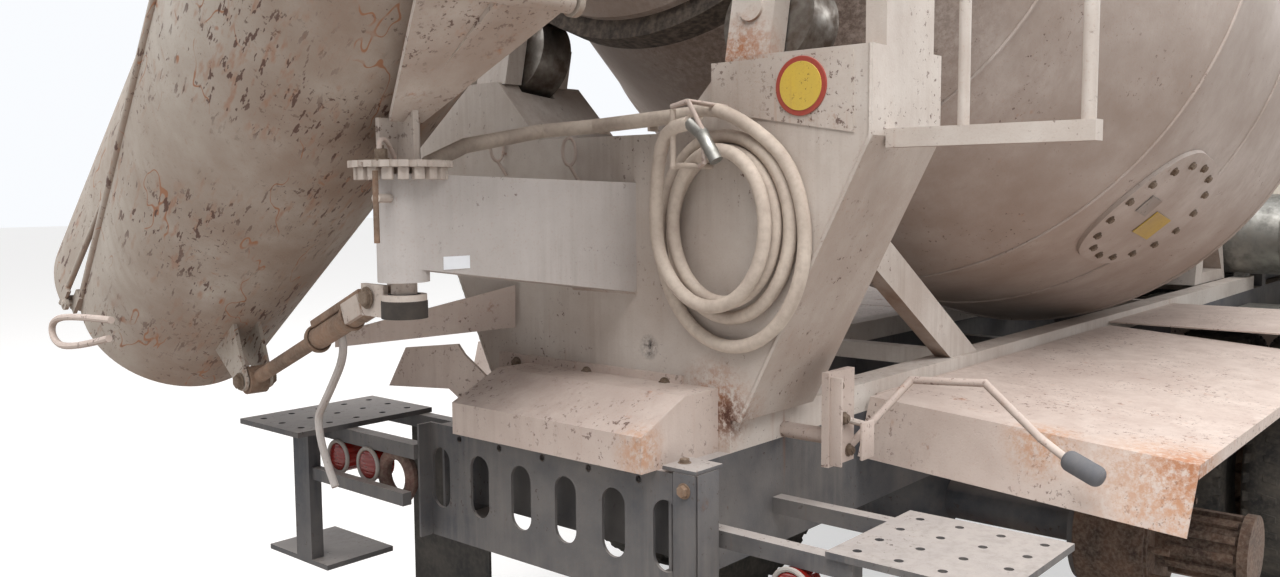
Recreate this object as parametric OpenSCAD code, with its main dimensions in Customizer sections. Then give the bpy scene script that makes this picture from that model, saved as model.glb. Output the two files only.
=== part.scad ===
// Concrete mixer truck, three axles, with a swung discharge chute.
// X runs forward, Y to the truck's left, Z up, and the ground is at z = 0.
// Every x below is measured forward from the rear end of the chassis frame.

/* [Chassis] */
// Height of the top of the frame rails
frame_top = 1030; // [1000:5:1060]
// Width over the two frame rails
frame_w = 800; // [760:5:840]
// Height of a frame rail
rail_h = 270; // [220:5:300]
// Flange width of a frame rail
rail_flange = 80; // [60:5:90]
// Thickness of the frame rail's steel
rail_t = 8; // [6:1:12]
// Front end of the frame rails
frame_front = 7680; // [7600:10:7720]
// Rear axle's place
rear_axle_x = 1890; // [1850:5:1950]
// Distance between the two driven axles
bogie_pitch = 1350; // [1300:5:1400]
// Distance from the middle axle to the steered axle
wheelbase = 3300; // [3250:10:3350]
// Distance from the frame's rear end to the origin
origin_x = 3550; // [3400:10:3700]

/* [Wheels] */
// Tyre outer diameter
tyre_d = 1040; // [1000:5:1060]
// Tyre width
tyre_w = 280; // [260:5:290]
// Rim diameter at the bead
rim_d = 572; // [560:2:590]
// Side distance of the front wheels' middle
front_track_y = 1020; // [1000:5:1040]
// Side distance of the twin wheels' mounting face
twin_y = 935; // [925:5:945]
// Distance between the middles of twin tyres
twin_pitch = 335; // [325:5:345]
// Wheel stud circle diameter
stud_circle_d = 335; // [300:5:350]
// Number of wheel studs
stud_count = 10; // [8:1:12]
// Largest steering angle clearance radius round a front wheel
arch_r = 590; // [570:5:620]

/* [Drum] */
// Slope of the drum's axis, falling towards the cab
drum_tilt = 11.5; // [10:0.5:13]
// Radius of the drum's widest part
drum_r = 1150; // [1100:5:1160]
// Track ring's outer radius
ring_r = 700; // [690:2:710]
// Track ring's width
ring_w = 90; // [70:5:110]
// Place of the track ring's middle along the truck
ring_x = 510; // [480:5:540]
// Height of the track ring's middle
ring_z = 2726; // [2700:2:2750]
// Length of the rear cone, from the track ring
rear_cone = 1320; // [1250:10:1400]
// Length of the widest part
belly = 1280; // [1200:10:1350]
// Length of the front cone
front_cone = 1600; // [1500:10:1700]
// Radius of the front end plate
front_r = 560; // [500:5:600]
// Radius of the mouth
mouth_r = 420; // [400:5:430]
// Length of the neck behind the track ring
neck = 390; // [370:5:400]
// Thickness of the drum's shell
shell_t = 8; // [6:1:12]
// Radius of a drum roller
roller_r = 125; // [110:1:140]
// Angle of each roller from straight below the drum
roller_angle = 32; // [30:1:35]

/* [Rear pedestal] */
// Rear face of the pedestal
ped_x = 220; // [200:5:240]
// Depth of the pedestal
ped_depth = 320; // [300:5:340]
// Half width of the pedestal at its columns
ped_half = 765; // [755:5:770]
// Half width of the pedestal at its foot
foot_half = 430; // [400:5:440]
// Half width of the low middle of the pedestal
saddle_half = 335; // [310:5:350]
// Height where the flare meets the columns
flare_z = 1765; // [1740:5:1790]
// Height of the low middle's top
saddle_z = 1790; // [1770:5:1810]
// Height of the roller seats
seat_z = 1955; // [1940:5:1965]

/* [Chute] */
// Swivel post's place behind the frame's rear end
post_x = -410; // [-430:5:-390]
// Height of the swivel disc's top
disc_z = 1718; // [1700:2:1730]
// Radius of the swivel disc
disc_r = 110; // [100:2:130]
// Distance of the chute's hinge from the post
hinge_back = 350; // [330:5:370]
// Height of the chute's hinge
hinge_z = 2025; // [2010:5:2040]
// Direction of the stored chute, from straight ahead towards the left
chute_yaw = 86; // [80:1:95]
// Slope of the stored chute
chute_slope = 40; // [37:1:43]
// Chute radius at its upper end
chute_r_top = 410; // [395:5:420]
// Chute radius at its lower end
chute_r_low = 260; // [250:5:270]
// Chute length below its hinge
chute_len = 1650; // [1600:10:1700]
// Chute sheet thickness
chute_t = 5; // [4:1:8]

/* [Cab] */
// Rear wall of the cab
cab_rear = 5830; // [5800:5:5860]
// Cab length
cab_len = 2050; // [2000:5:2100]
// Cab width
cab_w = 2300; // [2250:5:2350]
// Height of the cab floor
cab_floor = 1130; // [1120:5:1160]
// Height of the cab roof
cab_roof = 2880; // [2850:5:2920]
// Thickness of the cab's walls
wall_t = 45; // [35:1:60]
// Width of a door opening
door_w = 860; // [820:5:900]

/* [Fenders and steps] */
// Overall width over the fenders
body_w = 2500; // [2450:5:2550]
// Rear edge of the rear fenders
fender_x = 860; // [840:5:880]
// Length of the rear fenders
fender_len = 2050; // [2000:10:2070]
// Height of the fenders' top
fender_z = 1086; // [1080:2:1100]
// Droop of the right rear fender
droop = 4; // [0:0.5:5]
// Thickness of the fender plate
fender_t = 6; // [4:1:10]

/* [Hidden] */
$fn = 64;

axle_z = tyre_d / 2;
mid_axle_x = rear_axle_x + bogie_pitch;
front_axle_x = mid_axle_x + wheelbase;
frame_half = frame_w / 2;
frame_low = frame_top - rail_h;
sub_h = 80;
sub_top = frame_top + sub_h;
sub_w = 90;
sub_in = frame_half - sub_w;
gap = 0.3;

cream = "#cdc3b0";
black = "#3b3e44";
rubber = "#2c2b2a";
rust = "#6f5243";
steel = "#8d8a84";

// Puts the frame's own x into the truck's origin.
module placed() translate([-origin_x, 0, 0]) children();

// Copies a left-hand shape to the right as well.
module both() {
  children();
  mirror([0, 1, 0]) children();
}

// A box given by its low corner and its high corner.
module span(low, high) translate(low) cube(high - low);

// A cylinder along Y, from y0 to y1.
module rod_y(x, z, r, y0, y1) translate([x, y0, z]) rotate([-90, 0, 0]) cylinder(r = r, h = y1 - y0);

// A cylinder along X, from x0 to x1.
module rod_x(y, z, r, x0, x1) translate([x0, y, z]) rotate([0, 90, 0]) cylinder(r = r, h = x1 - x0);

// An outline in x and z, pulled along Y from y0 to y1.
module plate_xz(points, y0, y1)
  translate([0, y1, 0]) rotate([90, 0, 0]) linear_extrude(y1 - y0) polygon(points);

// An outline in y and z, pulled along X from x0 to x1.
module plate_yz(points, x0, x1)
  translate([x0, 0, 0]) rotate([90, 0, 90]) linear_extrude(x1 - x0) polygon(points);

// A pipe through a list of points, with round joints.
module pipe(points, r) {
  for (i = [0 : len(points) - 2]) {
    d = points[i + 1] - points[i];
    turn = [0, acos(d[2] / norm(d)), atan2(d[1], d[0])];
    translate(points[i]) rotate(turn) cylinder(r = r, h = norm(d), $fn = 24);
  }
  for (i = [1 : len(points) - 2]) translate(points[i]) sphere(r = r + 0.5, $fn = 24);
}

// Frame rails with their crossmembers.
cross_x = [60, 900, 2200, 2900, 4500, 5150, 7560];
module rail() {
  difference() {
    span([0, frame_half - rail_flange, frame_low], [frame_front, frame_half, frame_top]);
    span([-1, frame_half - rail_flange - 1, frame_low + rail_t],
         [frame_front + 1, frame_half - rail_t, frame_top - rail_t]);
  }
}
module frame_rails() color(black) placed() {
  both() rail();
  for (x = cross_x) difference() {
    span([x, rail_t - frame_half, frame_low + 50], [x + 60, frame_half - rail_t, frame_top - 50]);
    span([x + rail_t, 30 - frame_half, frame_low + 50 + rail_t],
         [x + 61, frame_half - 30, frame_top - 50 - rail_t]);
  }
  both() span([cab_rear + 50, frame_half - rail_flange, frame_top],
              [cab_rear + 150, frame_half, cab_floor - gap]);
}

// Slotted plate across the frame's rear end.
plate_t = 8;
slot_pitch = 157;
slot_w = 72;
slot_h = 165;
slot_z = 884;
module rear_plate() color(black) placed() difference() {
  union() {
    span([-plate_t, -410, 720], [0, 445, frame_top]);
    span([-plate_t - 40, 437, 720], [-plate_t, 445, frame_top]);
  }
  for (k = [0 : 5]) {
    y = slot_pitch * k - 389;
    for (s = [-1, 1]) rod_x(y, slot_z + s * (slot_h - slot_w) / 2, slot_w / 2, -plate_t - 1, 1);
    span([-plate_t - 1, y - slot_w / 2, slot_z - (slot_h - slot_w) / 2],
         [1, y + slot_w / 2, slot_z + (slot_h - slot_w) / 2]);
    if (k < 5) rod_x(y + slot_pitch / 2, 1000, 9, -plate_t - 1, 1);
  }
}

// Mixer subframe on top of the rails, with its crossbars.
module subframe() color(cream) placed() {
  both() {
    span([ped_x, sub_in, frame_top], [5650, frame_half, sub_top]);
    plate_xz([[ped_x + ped_depth, 1810], [ped_x + ped_depth, 1680], [1440, sub_top],
              [1640, sub_top]], sub_in + 20, sub_in + 75);
  }
  for (x = [1700, 3900, 5300])
    span([x, -sub_in, frame_top], [x + 60, sub_in, sub_top - 20]);
}

// Rear pedestal: flared box on the frame, two tall columns and the roller seats.
col_top = 2900;
col_w = 50;
web_z = 1600;
module pedestal_face() polygon([
  [-foot_half, sub_top], [-ped_half, flare_z], [-ped_half, seat_z], [-saddle_half - 60, seat_z],
  [-saddle_half + 100, saddle_z], [saddle_half - 100, saddle_z], [saddle_half + 60, seat_z],
  [ped_half, seat_z], [ped_half, flare_z], [foot_half, sub_top]
]);
module rear_pedestal() color(cream) placed() {
  difference() {
    translate([ped_x, 0, 0]) rotate([90, 0, 90]) linear_extrude(ped_depth) pedestal_face();
    plate_yz([[-foot_half + 60, sub_top - 1], [-saddle_half + 100, web_z],
              [saddle_half - 100, web_z], [foot_half - 60, sub_top - 1]],
             ped_x + 12, ped_x + ped_depth + 1);
    both() at_roller(1) translate([0, 0, -roller_len / 2 - 4])
      cylinder(r = roller_r + 15, h = roller_len + 8);
  }
  both() span([ped_x + 60, ped_half - col_w, seat_z], [ped_x + ped_depth - 40, ped_half, col_top]);
  both() roller_blocks();
}

// Roller places: turned about the drum's axis, the roller's axis along it.
module at_ring() translate([ring_x, 0, ring_z]) rotate([0, 90 + drum_tilt, 0]) children();
roller_c = ring_r + roller_r + gap;
roller_len = 110;
shaft_r = 30;
block_w = 60;
// In the drum's own frame, x points down and z points forward along its axis.
module at_roller(side) at_ring() translate([roller_c * cos(roller_angle),
  side * roller_c * sin(roller_angle), 0]) children();
module roller_body() difference() {
  translate([0, 0, -roller_len / 2]) cylinder(r = roller_r, h = roller_len);
  translate([0, 0, -roller_len]) cylinder(r = shaft_r + 0.05, h = 2 * roller_len);
}
module roller_left() color(steel) placed() at_roller(1) roller_body();
module roller_right() color(steel) placed() at_roller(-1) roller_body();

// Bearing blocks and the fixed shaft of one roller, standing on the pedestal's seat.
module roller_blocks() {
  intersection() {
    at_roller(1) for (s = [-1, 1])
      translate([-45, -60, s > 0 ? roller_len / 2 + 4 : -roller_len / 2 - 4 - block_w])
        cube([300, 120, block_w]);
    span([ped_x - 40, 0, seat_z - 5], [ped_x + ped_depth + 60, ped_half, 3000]);
  }
  at_roller(1) translate([0, 0, -roller_len / 2 - block_w - 12])
    cylinder(r = shaft_r, h = roller_len + 2 * block_w + 24);
}

// Sloped box cover behind the pedestal, with its bolted strip and side flap.
module pedestal_cover() color(cream) placed() {
  plate_xz([[-60, frame_top], [-60, 1112], [95, 1182], [ped_x, 1182], [ped_x, frame_top]], -365, 280);
  span([ped_x - 12, -262, 1150], [ped_x, 398, 1202]);
  plate_yz([[279, 1050], [279, 1160], [372, 1213], [400, 1240], [630, 1210], [714, 1090],
            [440, 1112], [340, 1060]], 60, 68);
}

// Box arm from the pedestal to the swivel post.
arm_root_z = [1398, 1672];
arm_post_z = [1490, 1690];
post_r = 45;
post_low = 1462;
module chute_arm() color(cream) placed() {
  difference() {
    intersection() {
      plate_xz([[post_x, arm_post_z[0]], [post_x, arm_post_z[1]], [ped_x, arm_root_z[1]],
                [ped_x, arm_root_z[0]]], -200, 200);
      translate([0, 0, 1300]) linear_extrude(500)
        polygon([[post_x, -55], [post_x, 55], [ped_x, 110], [ped_x, -110]]);
    }
    translate([post_x, 0, 1300]) cylinder(r = post_r - 5, h = 500);
  }
  difference() {
    translate([post_x, 0, post_low]) cylinder(r = post_r + 10, h = disc_z - 28 - post_low);
    translate([post_x, 0, post_low - 1]) cylinder(r = pin_r + 0.05, h = 400);
  }
}
pin_r = 28;

// The chute turns about the post: its frame has x along the chute's direction.
module at_post() translate([post_x, 0, 0]) rotate([0, 0, chute_yaw]) children();
// The chute's hinge frame: x runs down the chute, z away from its floor.
module at_hinge() at_post() translate([-hinge_back, 0, hinge_z]) rotate([0, chute_slope, 0]) children();

hinge_pipe_r = 24;
hinge_pin_r = 14;
hinge_half = 170;
jack_foot = [80, 1425];
jack_head = [720, 1165];
module chute_yoke() color(cream) placed() at_post() {
  difference() {
    translate([0, 0, disc_z - 14]) cylinder(r = disc_r, h = 14);
    for (a = [0 : 20 : 340]) rotate([0, 0, a]) translate([disc_r, 0, disc_z - 20])
      cylinder(r = 9, h = 30, $fn = 24);
  }
  translate([0, 0, 1400]) cylinder(r = pin_r, h = disc_z - 1400 - 5);
  plate_xz([[-60, disc_z - 1], [60, disc_z - 1], [40, 1800], [-hinge_back + 30, hinge_z],
            [-hinge_back, hinge_z - 20], [-60, 1830]], -7, 7);
  translate([0, -50, disc_z - 1]) cube([14, 100, 90]);
  intersection() {
    difference() {
      translate([-hinge_back, -hinge_half, hinge_z]) rotate([-90, 0, 0])
        cylinder(r = hinge_pipe_r, h = 2 * hinge_half);
      translate([-hinge_back, -hinge_half - 1, hinge_z]) rotate([-90, 0, 0])
        cylinder(r = hinge_pin_r + 0.05, h = 2 * hinge_half + 2);
    }
    span([-hinge_back - 100, -hinge_half, 1900], [0, hinge_half, 2100]);
  }
  // Gusset spreading from the post to the hinge pipe.
  translate([-hinge_back, 0, hinge_z]) rotate([0, yoke_lean, 0]) rotate([0, 90, 0])
    translate([0, 0, hinge_pipe_r - 4]) gusset();
  // Clevis for the jack at the foot of the post.
  translate([0, 0, 1385]) cylinder(r = 48, h = 50);
  both() span([20, 27, 1385], [jack_foot[0] + 30, 39, jack_foot[1] + 30]);
  rod_y(jack_foot[0], jack_foot[1], jack_pin_r, -46, 46);
}
yoke_lean = atan2(hinge_z - 1800, hinge_back - 20);
module gusset() {
  slope_len = norm([hinge_z - 1800, hinge_back - 20]) - hinge_pipe_r;
  linear_extrude(slope_len, scale = 1) square([10, 60], center = true);
  translate([-5, 0, 0]) rotate([90, 0, 90]) linear_extrude(10)
    polygon([[-hinge_half, 0], [hinge_half, 0], [40, slope_len], [-40, slope_len]]);
}

// Main chute: tapered half pipe with rolled edges, hinge lugs and the jack's lug.
chute_back = 150;
trough_top = 2200;
chute_full = chute_len + chute_back;
floor_gap = hinge_pipe_r + 16;
module chute_cone(r0, r1, len) rotate([0, 90, 0]) cylinder(r1 = r0, r2 = r1, h = len, $fn = 96);
rim_up = 40;
edge_r = 12;
fold_up = 20;
fold_x = chute_len;
taper = (chute_r_top - chute_r_low) / chute_full;
axis_top = chute_r_top + floor_gap;
// The trough's own frame: x along the cone's axis, from the chute's upper end.
module at_trough() at_hinge() translate([-chute_back, 0, axis_top]) children();
module chute_main() color(cream) placed() {
  difference() {
    at_trough() difference() {
      chute_cone(chute_r_top, chute_r_low, chute_full);
      chute_cone(chute_r_top - chute_t, chute_r_low - chute_t, chute_full);
      translate([-10, -600, rim_up]) cube([chute_full + 20, 1200, 600]);
    }
    at_post() span([-700, -600, trough_top], [400, 600, 3000]);
  }
  at_trough() {
    both() pipe([rim_at(rim_start), rim_at(chute_full)], edge_r);
    both() translate([chute_full, 0, rim_up + fold_up]) difference() {
      side_cut(chute_r_low + 6, chute_r_low + 16) {
        translate([-60, -fold_up - edge_r]) square([70, fold_up + edge_r]);
        circle(r = 20);
      }
      rod_y(0, 0, fold_pin_r + 0.05, 0, 400);
    }
  }
  at_hinge() {
    both() side_cut(hinge_half + 5, hinge_half + 19) {
      circle(r = 30);
      translate([-30, 0]) square([60, floor_gap + 66]);
    }
    rod_y(0, 0, hinge_pin_r, -hinge_half - 19, hinge_half + 19);
    jack_lug();
  }
}
fold_pin_r = 9;
// The rolled edge begins where the wall reaches its full height.
rim_start = chute_back + (hinge_z + (axis_top + rim_up) * cos(chute_slope) - trough_top) / sin(chute_slope);
function rim_at(x) = [x, chute_r_top - taper * x - 4, rim_up];

// The jack's upper and lower pins in the hinge frame.
function to_hinge(p) = let (dx = p[0] + hinge_back, dz = p[1] - hinge_z)
  [dx * cos(chute_slope) - dz * sin(chute_slope), dx * sin(chute_slope) + dz * cos(chute_slope)];
lug = to_hinge(jack_head);
jack_pin_r = 12;
// Height of the trough's floor above the hinge's own plane, at a distance along it.
function floor_at(x) = floor_gap + taper * (x + chute_back);
module jack_lug() {
  both() side_cut(28, 38) {
    translate(lug) circle(r = 26);
    polygon([[lug[0] - 26, lug[1]], [lug[0] - 70, floor_at(lug[0] - 70) + 3],
             [lug[0] + 70, floor_at(lug[0] + 70) + 3], [lug[0] + 26, lug[1]]]);
  }
  rod_y(lug[0], lug[1], jack_pin_r, -44, 44);
}

// Folding end chute, laid back upside down over the main chute.
ext_len = 900;
ext_lip = 30;
ext_r = chute_r_low + 32;
ext_low_r = ext_r - 20;
module chute_extension() color(cream) placed()
  at_trough() translate([chute_full, 0, rim_up + fold_up]) rotate([0, 180, 0])
    translate([0, 0, -rim_up - fold_up]) {
      translate([-ext_lip, 0, 0]) difference() {
        chute_cone(ext_r, ext_low_r, ext_len);
        chute_cone(ext_r - chute_t, ext_low_r - chute_t, ext_len);
        translate([-10, -600, rim_up]) cube([ext_len + 20, 1200, 600]);
      }
      both() pipe([[-ext_lip, ext_r - 3, rim_up], [ext_len - ext_lip, ext_low_r - 3, rim_up]], 8);
      both() side_cut(ext_r - 6, ext_r + 4) translate([0, rim_up + fold_up]) {
        circle(r = 20);
        translate([0, -fold_up - 8]) square([50, fold_up + 8]);
      }
      both() rod_y(0, rim_up + fold_up, fold_pin_r, chute_r_low + 3, ext_r + 8);
    }

// Screw jack that holds the chute's slope.
jack_dir = jack_head - jack_foot;
jack_len = norm(jack_dir);
jack_tilt = -atan2(jack_dir[1], jack_dir[0]);
barrel_len = 330;
module at_jack() at_post() translate([jack_foot[0], 0, jack_foot[1]]) rotate([0, jack_tilt, 0]) children();
module jack_barrel() color(steel) placed() at_jack() difference() {
  union() {
    rotate([-90, 0, 0]) translate([0, 0, -25]) cylinder(r = 24, h = 50);
    rotate([0, 90, 0]) cylinder(r = 27, h = barrel_len);
  }
  rotate([-90, 0, 0]) translate([0, 0, -60]) cylinder(r = 12.05, h = 120);
  translate([60, 0, 0]) rotate([0, 90, 0]) cylinder(r = 18.05, h = barrel_len);
}
module jack_rod() color(steel) placed() at_jack() difference() {
  union() {
    translate([80, 0, 0]) rotate([0, 90, 0]) cylinder(r = 18, h = jack_len - 90);
    translate([jack_len, -25, 0]) rotate([-90, 0, 0]) cylinder(r = eye_r + 12, h = 50);
  }
  translate([jack_len, -60, 0]) rotate([-90, 0, 0]) cylinder(r = eye_r, h = 120);
}
// The rod's eye is wide, so that it stays clear of its pin over the whole travel.
eye_r = 24;

// Front pedestal: a cradle with windows that carries the drum's gearbox.
gearbox_r = 250;
drum_front = rear_cone + belly + front_cone;
boss_z = drum_front + 140;
gearbox_len = 420;
function along(s) = [ring_x + s * cos(drum_tilt), ring_z - s * sin(drum_tilt)];
box_mid = along(boss_z + gearbox_len / 2);
module front_pedestal() color(cream) placed() {
  difference() {
    plate_xz([[4700, sub_top], [box_mid[0] - 130, box_mid[1]], [box_mid[0] + 130, box_mid[1]],
              [5360, sub_top]], -300, 300);
    at_ring() translate([0, 0, 4000]) cylinder(r = gearbox_r, h = 1500);
    plate_xz([[4850, sub_top + 60], [box_mid[0] - 60, box_mid[1] - gearbox_r - 60],
              [box_mid[0] + 60, box_mid[1] - gearbox_r - 60], [5280, sub_top + 60]], -301, 301);
    span([4600, -200, sub_top + 60], [5500, 200, box_mid[1] - gearbox_r - 60]);
  }
  at_ring() difference() {
    union() {
      translate([0, 0, boss_z]) cylinder(r = gearbox_r, h = gearbox_len);
      translate([0, 0, boss_z + gearbox_len]) cylinder(r = 110, h = 180);
    }
    translate([0, 0, boss_z - 1]) cylinder(r = stub_r + 0.05, h = 120);
  }
}

// Drum: revolved shell with an open mouth, a dished front plate and a stub shaft.
stub_r = 80;
seat_r = ring_r - 50;
band = 70;
module drum_outline(t) polygon([
  [0, -neck - (t > 0 ? 1 : 0)], [mouth_r - t, -neck - (t > 0 ? 1 : 0)], [seat_r - t, -band],
  [seat_r - t, band], [drum_r - t, rear_cone], [drum_r - t, rear_cone + belly],
  [front_r - t, drum_front - t], [250, drum_front + 60 - t], [0, drum_front + 80 - t]
]);
module drum_shell() color(cream) placed() at_ring() {
  rotate_extrude($fn = 96) difference() {
    drum_outline(0);
    drum_outline(shell_t);
  }
  rotate_extrude($fn = 96) translate([mouth_r + 4, -neck + 12]) circle(r = 14, $fn = 24);
  translate([0, 0, drum_front + 50]) cylinder(r = 190, h = 60);
  translate([0, 0, drum_front + 100]) cylinder(r = stub_r, h = 140);
}
module drum_ring() color(steel) placed() at_ring() difference() {
  translate([0, 0, -ring_w / 2]) cylinder(r = ring_r, h = ring_w, $fn = 128);
  translate([0, 0, -ring_w]) cylinder(r = seat_r, h = 2 * ring_w, $fn = 128);
}

// Oval manhole cover on the drum's side, with two blank plates.
hatch_s = 1760;
hatch_a = 44;
hatch_len = 610;
hatch_w = 500;
module manhole_cover() color(cream) placed() at_ring() intersection() {
  translate([0, 0, hatch_s - 500]) difference() {
    cylinder(r = drum_r + 14, h = 1000, $fn = 96);
    translate([0, 0, -1]) cylinder(r = drum_r, h = 1002, $fn = 96);
  }
  rotate([0, 0, -hatch_a]) translate([drum_r - 200, 0, hatch_s]) rotate([0, 90, 0]) {
    for (s = [-1, 1]) translate([s * (hatch_len - hatch_w) / 2, 0, 0])
      cylinder(r = hatch_w / 2, h = 400);
    translate([-(hatch_len - hatch_w) / 2, -hatch_w / 2, 0])
      cube([hatch_len - hatch_w, hatch_w, 400]);
  }
}

// Charging hopper above the mouth, with its stand on the pedestal's columns.
hopper_x = -170;
hopper_z = 3080;
hopper_top = 3640;
bar = 50;
module charge_hopper() color(cream) placed() {
  difference() {
    union() {
      translate([hopper_x, 0, hopper_z]) cylinder(r1 = 230, r2 = 520, h = hopper_top - hopper_z);
      translate([hopper_x, 0, hopper_z]) rotate([0, 145, 0]) translate([0, 0, -60])
        cylinder(r = 226, h = 360);
    }
    translate([hopper_x, 0, hopper_z]) cylinder(r1 = 224, r2 = 514, h = hopper_top - hopper_z + 1);
    translate([hopper_x, 0, hopper_z]) rotate([0, 145, 0]) translate([0, 0, -60])
      cylinder(r = 220, h = 362);
  }
  both() {
    span([hopper_x - 300, ped_half - bar, col_top], [ped_x + ped_depth - 40, ped_half, col_top + bar]);
    span([hopper_x - 25, ped_half - bar, col_top + bar], [hopper_x + 25, ped_half, 3420]);
    span([hopper_x - 25, 412, 3420], [hopper_x + 25, ped_half, 3470]);
  }
}

// Discharge hopper: funnel that guides the concrete down onto the chute.
funnel = [[220, 2180], [370, 2341], [480, 2361], [500, 2700]];
stay_z = 2490;
module discharge_hopper() color(cream) placed() {
  difference() {
    translate([post_x, 0, 0]) rotate_extrude($fn = 96)
      polygon(concat(funnel, [for (i = [3 : -1 : 0]) funnel[i] + [6, i < 3 ? -5 : 0]]));
    span([post_x + 160, -440, 2368], [ped_x, 440, 3000]);
    span([post_x + 430, -440, 2300], [ped_x, 440, 2400]);
  }
  both() {
    span([hopper_x - 300, ped_half - bar, stay_z], [ped_x + 60, ped_half, stay_z + bar]);
    span([post_x - 60, 490, stay_z + 5], [post_x + 10, ped_half, stay_z + 45]);
  }
}

// Climbing bar with its bent handrail on the right column.
rail_x = ped_x + 80;
module side_ladder() color(cream) placed() {
  span([rail_x - 20, -1200, 1740], [rail_x + 20, -ped_half, 1780]);
  pipe([[rail_x, -1180, 1770], [rail_x, -1180, 2480], [rail_x, -1100, 2600], [rail_x, -ped_half, 2600]], 14);
  pipe([[rail_x, -930, 1770], [rail_x, -930, 2100], [rail_x, -870, 2160], [rail_x, -ped_half, 2160]], 12);
}

// Right rear fender, bent down a little on its outer side.
fender_in = frame_half + 1;
fender_w = body_w / 2 - fender_in;
flap = 170;
flap_fall = [-flap * cos(74), -flap * sin(74)];
module fender_plate() {
  plate_xz([[fender_x, 0], [fender_x, 0] + flap_fall, [fender_x + fender_t, -2] + flap_fall,
            [fender_x + fender_t, -fender_t], [fender_x + fender_len, -fender_t], [fender_x + fender_len, 0]], 0, fender_w);
  span([fender_x + fender_t - 1, fender_w - fender_t, -35], [fender_x + fender_len, fender_w, -1]);
}
module fender_right() color(cream) placed() {
  translate([0, -fender_in - 16, fender_z - 12]) mirror([0, 1, 0]) rotate([-droop, 0, 0]) fender_plate();
  // Angle under the inner edge, against the subframe.
  span([fender_x + 60, -fender_in - 6, 1034], [fender_x + fender_len - 60, -fender_in, fender_z - 14]);
  span([fender_x + 60, -fender_in - 50, fender_z - 26], [fender_x + fender_len - 60, -fender_in, fender_z - 17]);
}

// Level fenders: the left rear one and both middle ones, and the front guards.
mid_fender_x = fender_x + fender_len + 30;
module fenders() color(cream) placed() {
  translate([0, fender_in, fender_z]) fender_plate();
  both() {
    span([mid_fender_x, fender_in, fender_z - fender_t],
         [mid_axle_x + 640, body_w / 2, fender_z]);
    span([mid_axle_x + 640, fender_in, 760], [mid_axle_x + 640 + fender_t, body_w / 2, fender_z]);
    translate([front_axle_x, 0, axle_z]) intersection() {
      rotate([-90, 0, 0]) difference() {
        cylinder(r = arch_r + 58, h = body_w / 2);
        translate([0, 0, -1]) cylinder(r = arch_r + 50, h = body_w / 2 + 2);
      }
      plate_xz([[0, 0], [-900, 100], [-900, 540], [-500, 540]], 900, body_w / 2 - 5);
    }
  }
}

// Rear steps beside the frame's end.
module rear_steps() color(black) placed() {
  difference() {
    span([90, -1120, 885], [470, -740, 900]);
    for (i = [0 : 3]) for (j = [0 : 3])
      translate([135 + 95 * i, -790 - 95 * j, 880]) cylinder(r = 10, h = 30, $fn = 24);
  }
  for (x = [100, 400]) span([x, -800, 845], [x + 40, -frame_half, 885]);
  difference() {
    span([-215, 760, 975], [250, 1070, 990]);
    for (i = [0 : 4]) for (j = [0 : 2])
      translate([-170 + 92 * i, 815 + 100 * j, 970]) cylinder(r = 10, h = 30, $fn = 24);
  }
  span([-110, 880, 560], [-70, 960, 975]);
  span([-110, 800, 560], [120, 1110, 575]);
  span([-100, 445 + gap, 815], [-72, 881, 850]);
  span([-60, 445 + gap, 935], [-20, 1060, 975]);
  span([200, frame_half, 935], [240, 1060, 975]);
}

// Round rear lamps and the head lamps.
module lamps() color("#8e2a24") placed() {
  for (y = [654, 800]) rod_x(y, 889 - gap, 46, -60, -5);
  rod_x(-660, 799 - gap, 46, 85, 140);
  both() rod_x(880, 700, lamp_r, bumper_front - 30, bumper_front + 4);
}

// Mud flap hanging below the left step.
module mudflaps() color(rubber) placed()
  span([202, 450, 420], [210, 800, 935 - gap]);

// Front axle beam with its leaf springs and hangers.
king_y = 850;
king_r = 22;
spring_len = 1400;
leaf_t = 14;
module leaf_pack(len, rise, n) for (k = [0 : n - 1])
  plate_xz([for (i = [-4 : 4]) let (u = i / 4, l = len * (1 - 0.12 * k) / 2)
              [u * l, u * u * rise * pow(1 - 0.12 * k, 2) - k * leaf_t],
            for (i = [4 : -1 : -4]) let (u = i / 4, l = len * (1 - 0.12 * k) / 2)
              [u * l, u * u * rise * pow(1 - 0.12 * k, 2) - (k + 1) * leaf_t + 0.01]], -35, 35);
module front_axle() color(black) placed() translate([front_axle_x, 0, 0]) {
  both() {
    translate([0, 445, 640]) leaf_pack(spring_len, 110, 4);
    for (s = [-1, 1]) span([s * 650 - 40, frame_half, 700], [s * 650 + 40, 485, 860]);
    span([-45, 395, axle_z - 60], [45, 495, 640 - 4 * leaf_t + 1]);
    difference() {
      translate([0, king_y, axle_z - 70]) cylinder(r = 42, h = 140);
      translate([0, king_y, axle_z - 71]) cylinder(r = king_r + 0.05, h = 142);
    }
    span([-40, 480, axle_z - 60], [40, king_y - 30, axle_z + 40]);
  }
  difference() {
    span([-45, -500, axle_z - 130], [45, 500, axle_z - 50]);
    for (s = [-1, 1]) span([s * 60 - 30, -470, axle_z - 115], [s * 60 + 30, 470, axle_z - 65]);
  }
}

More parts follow.
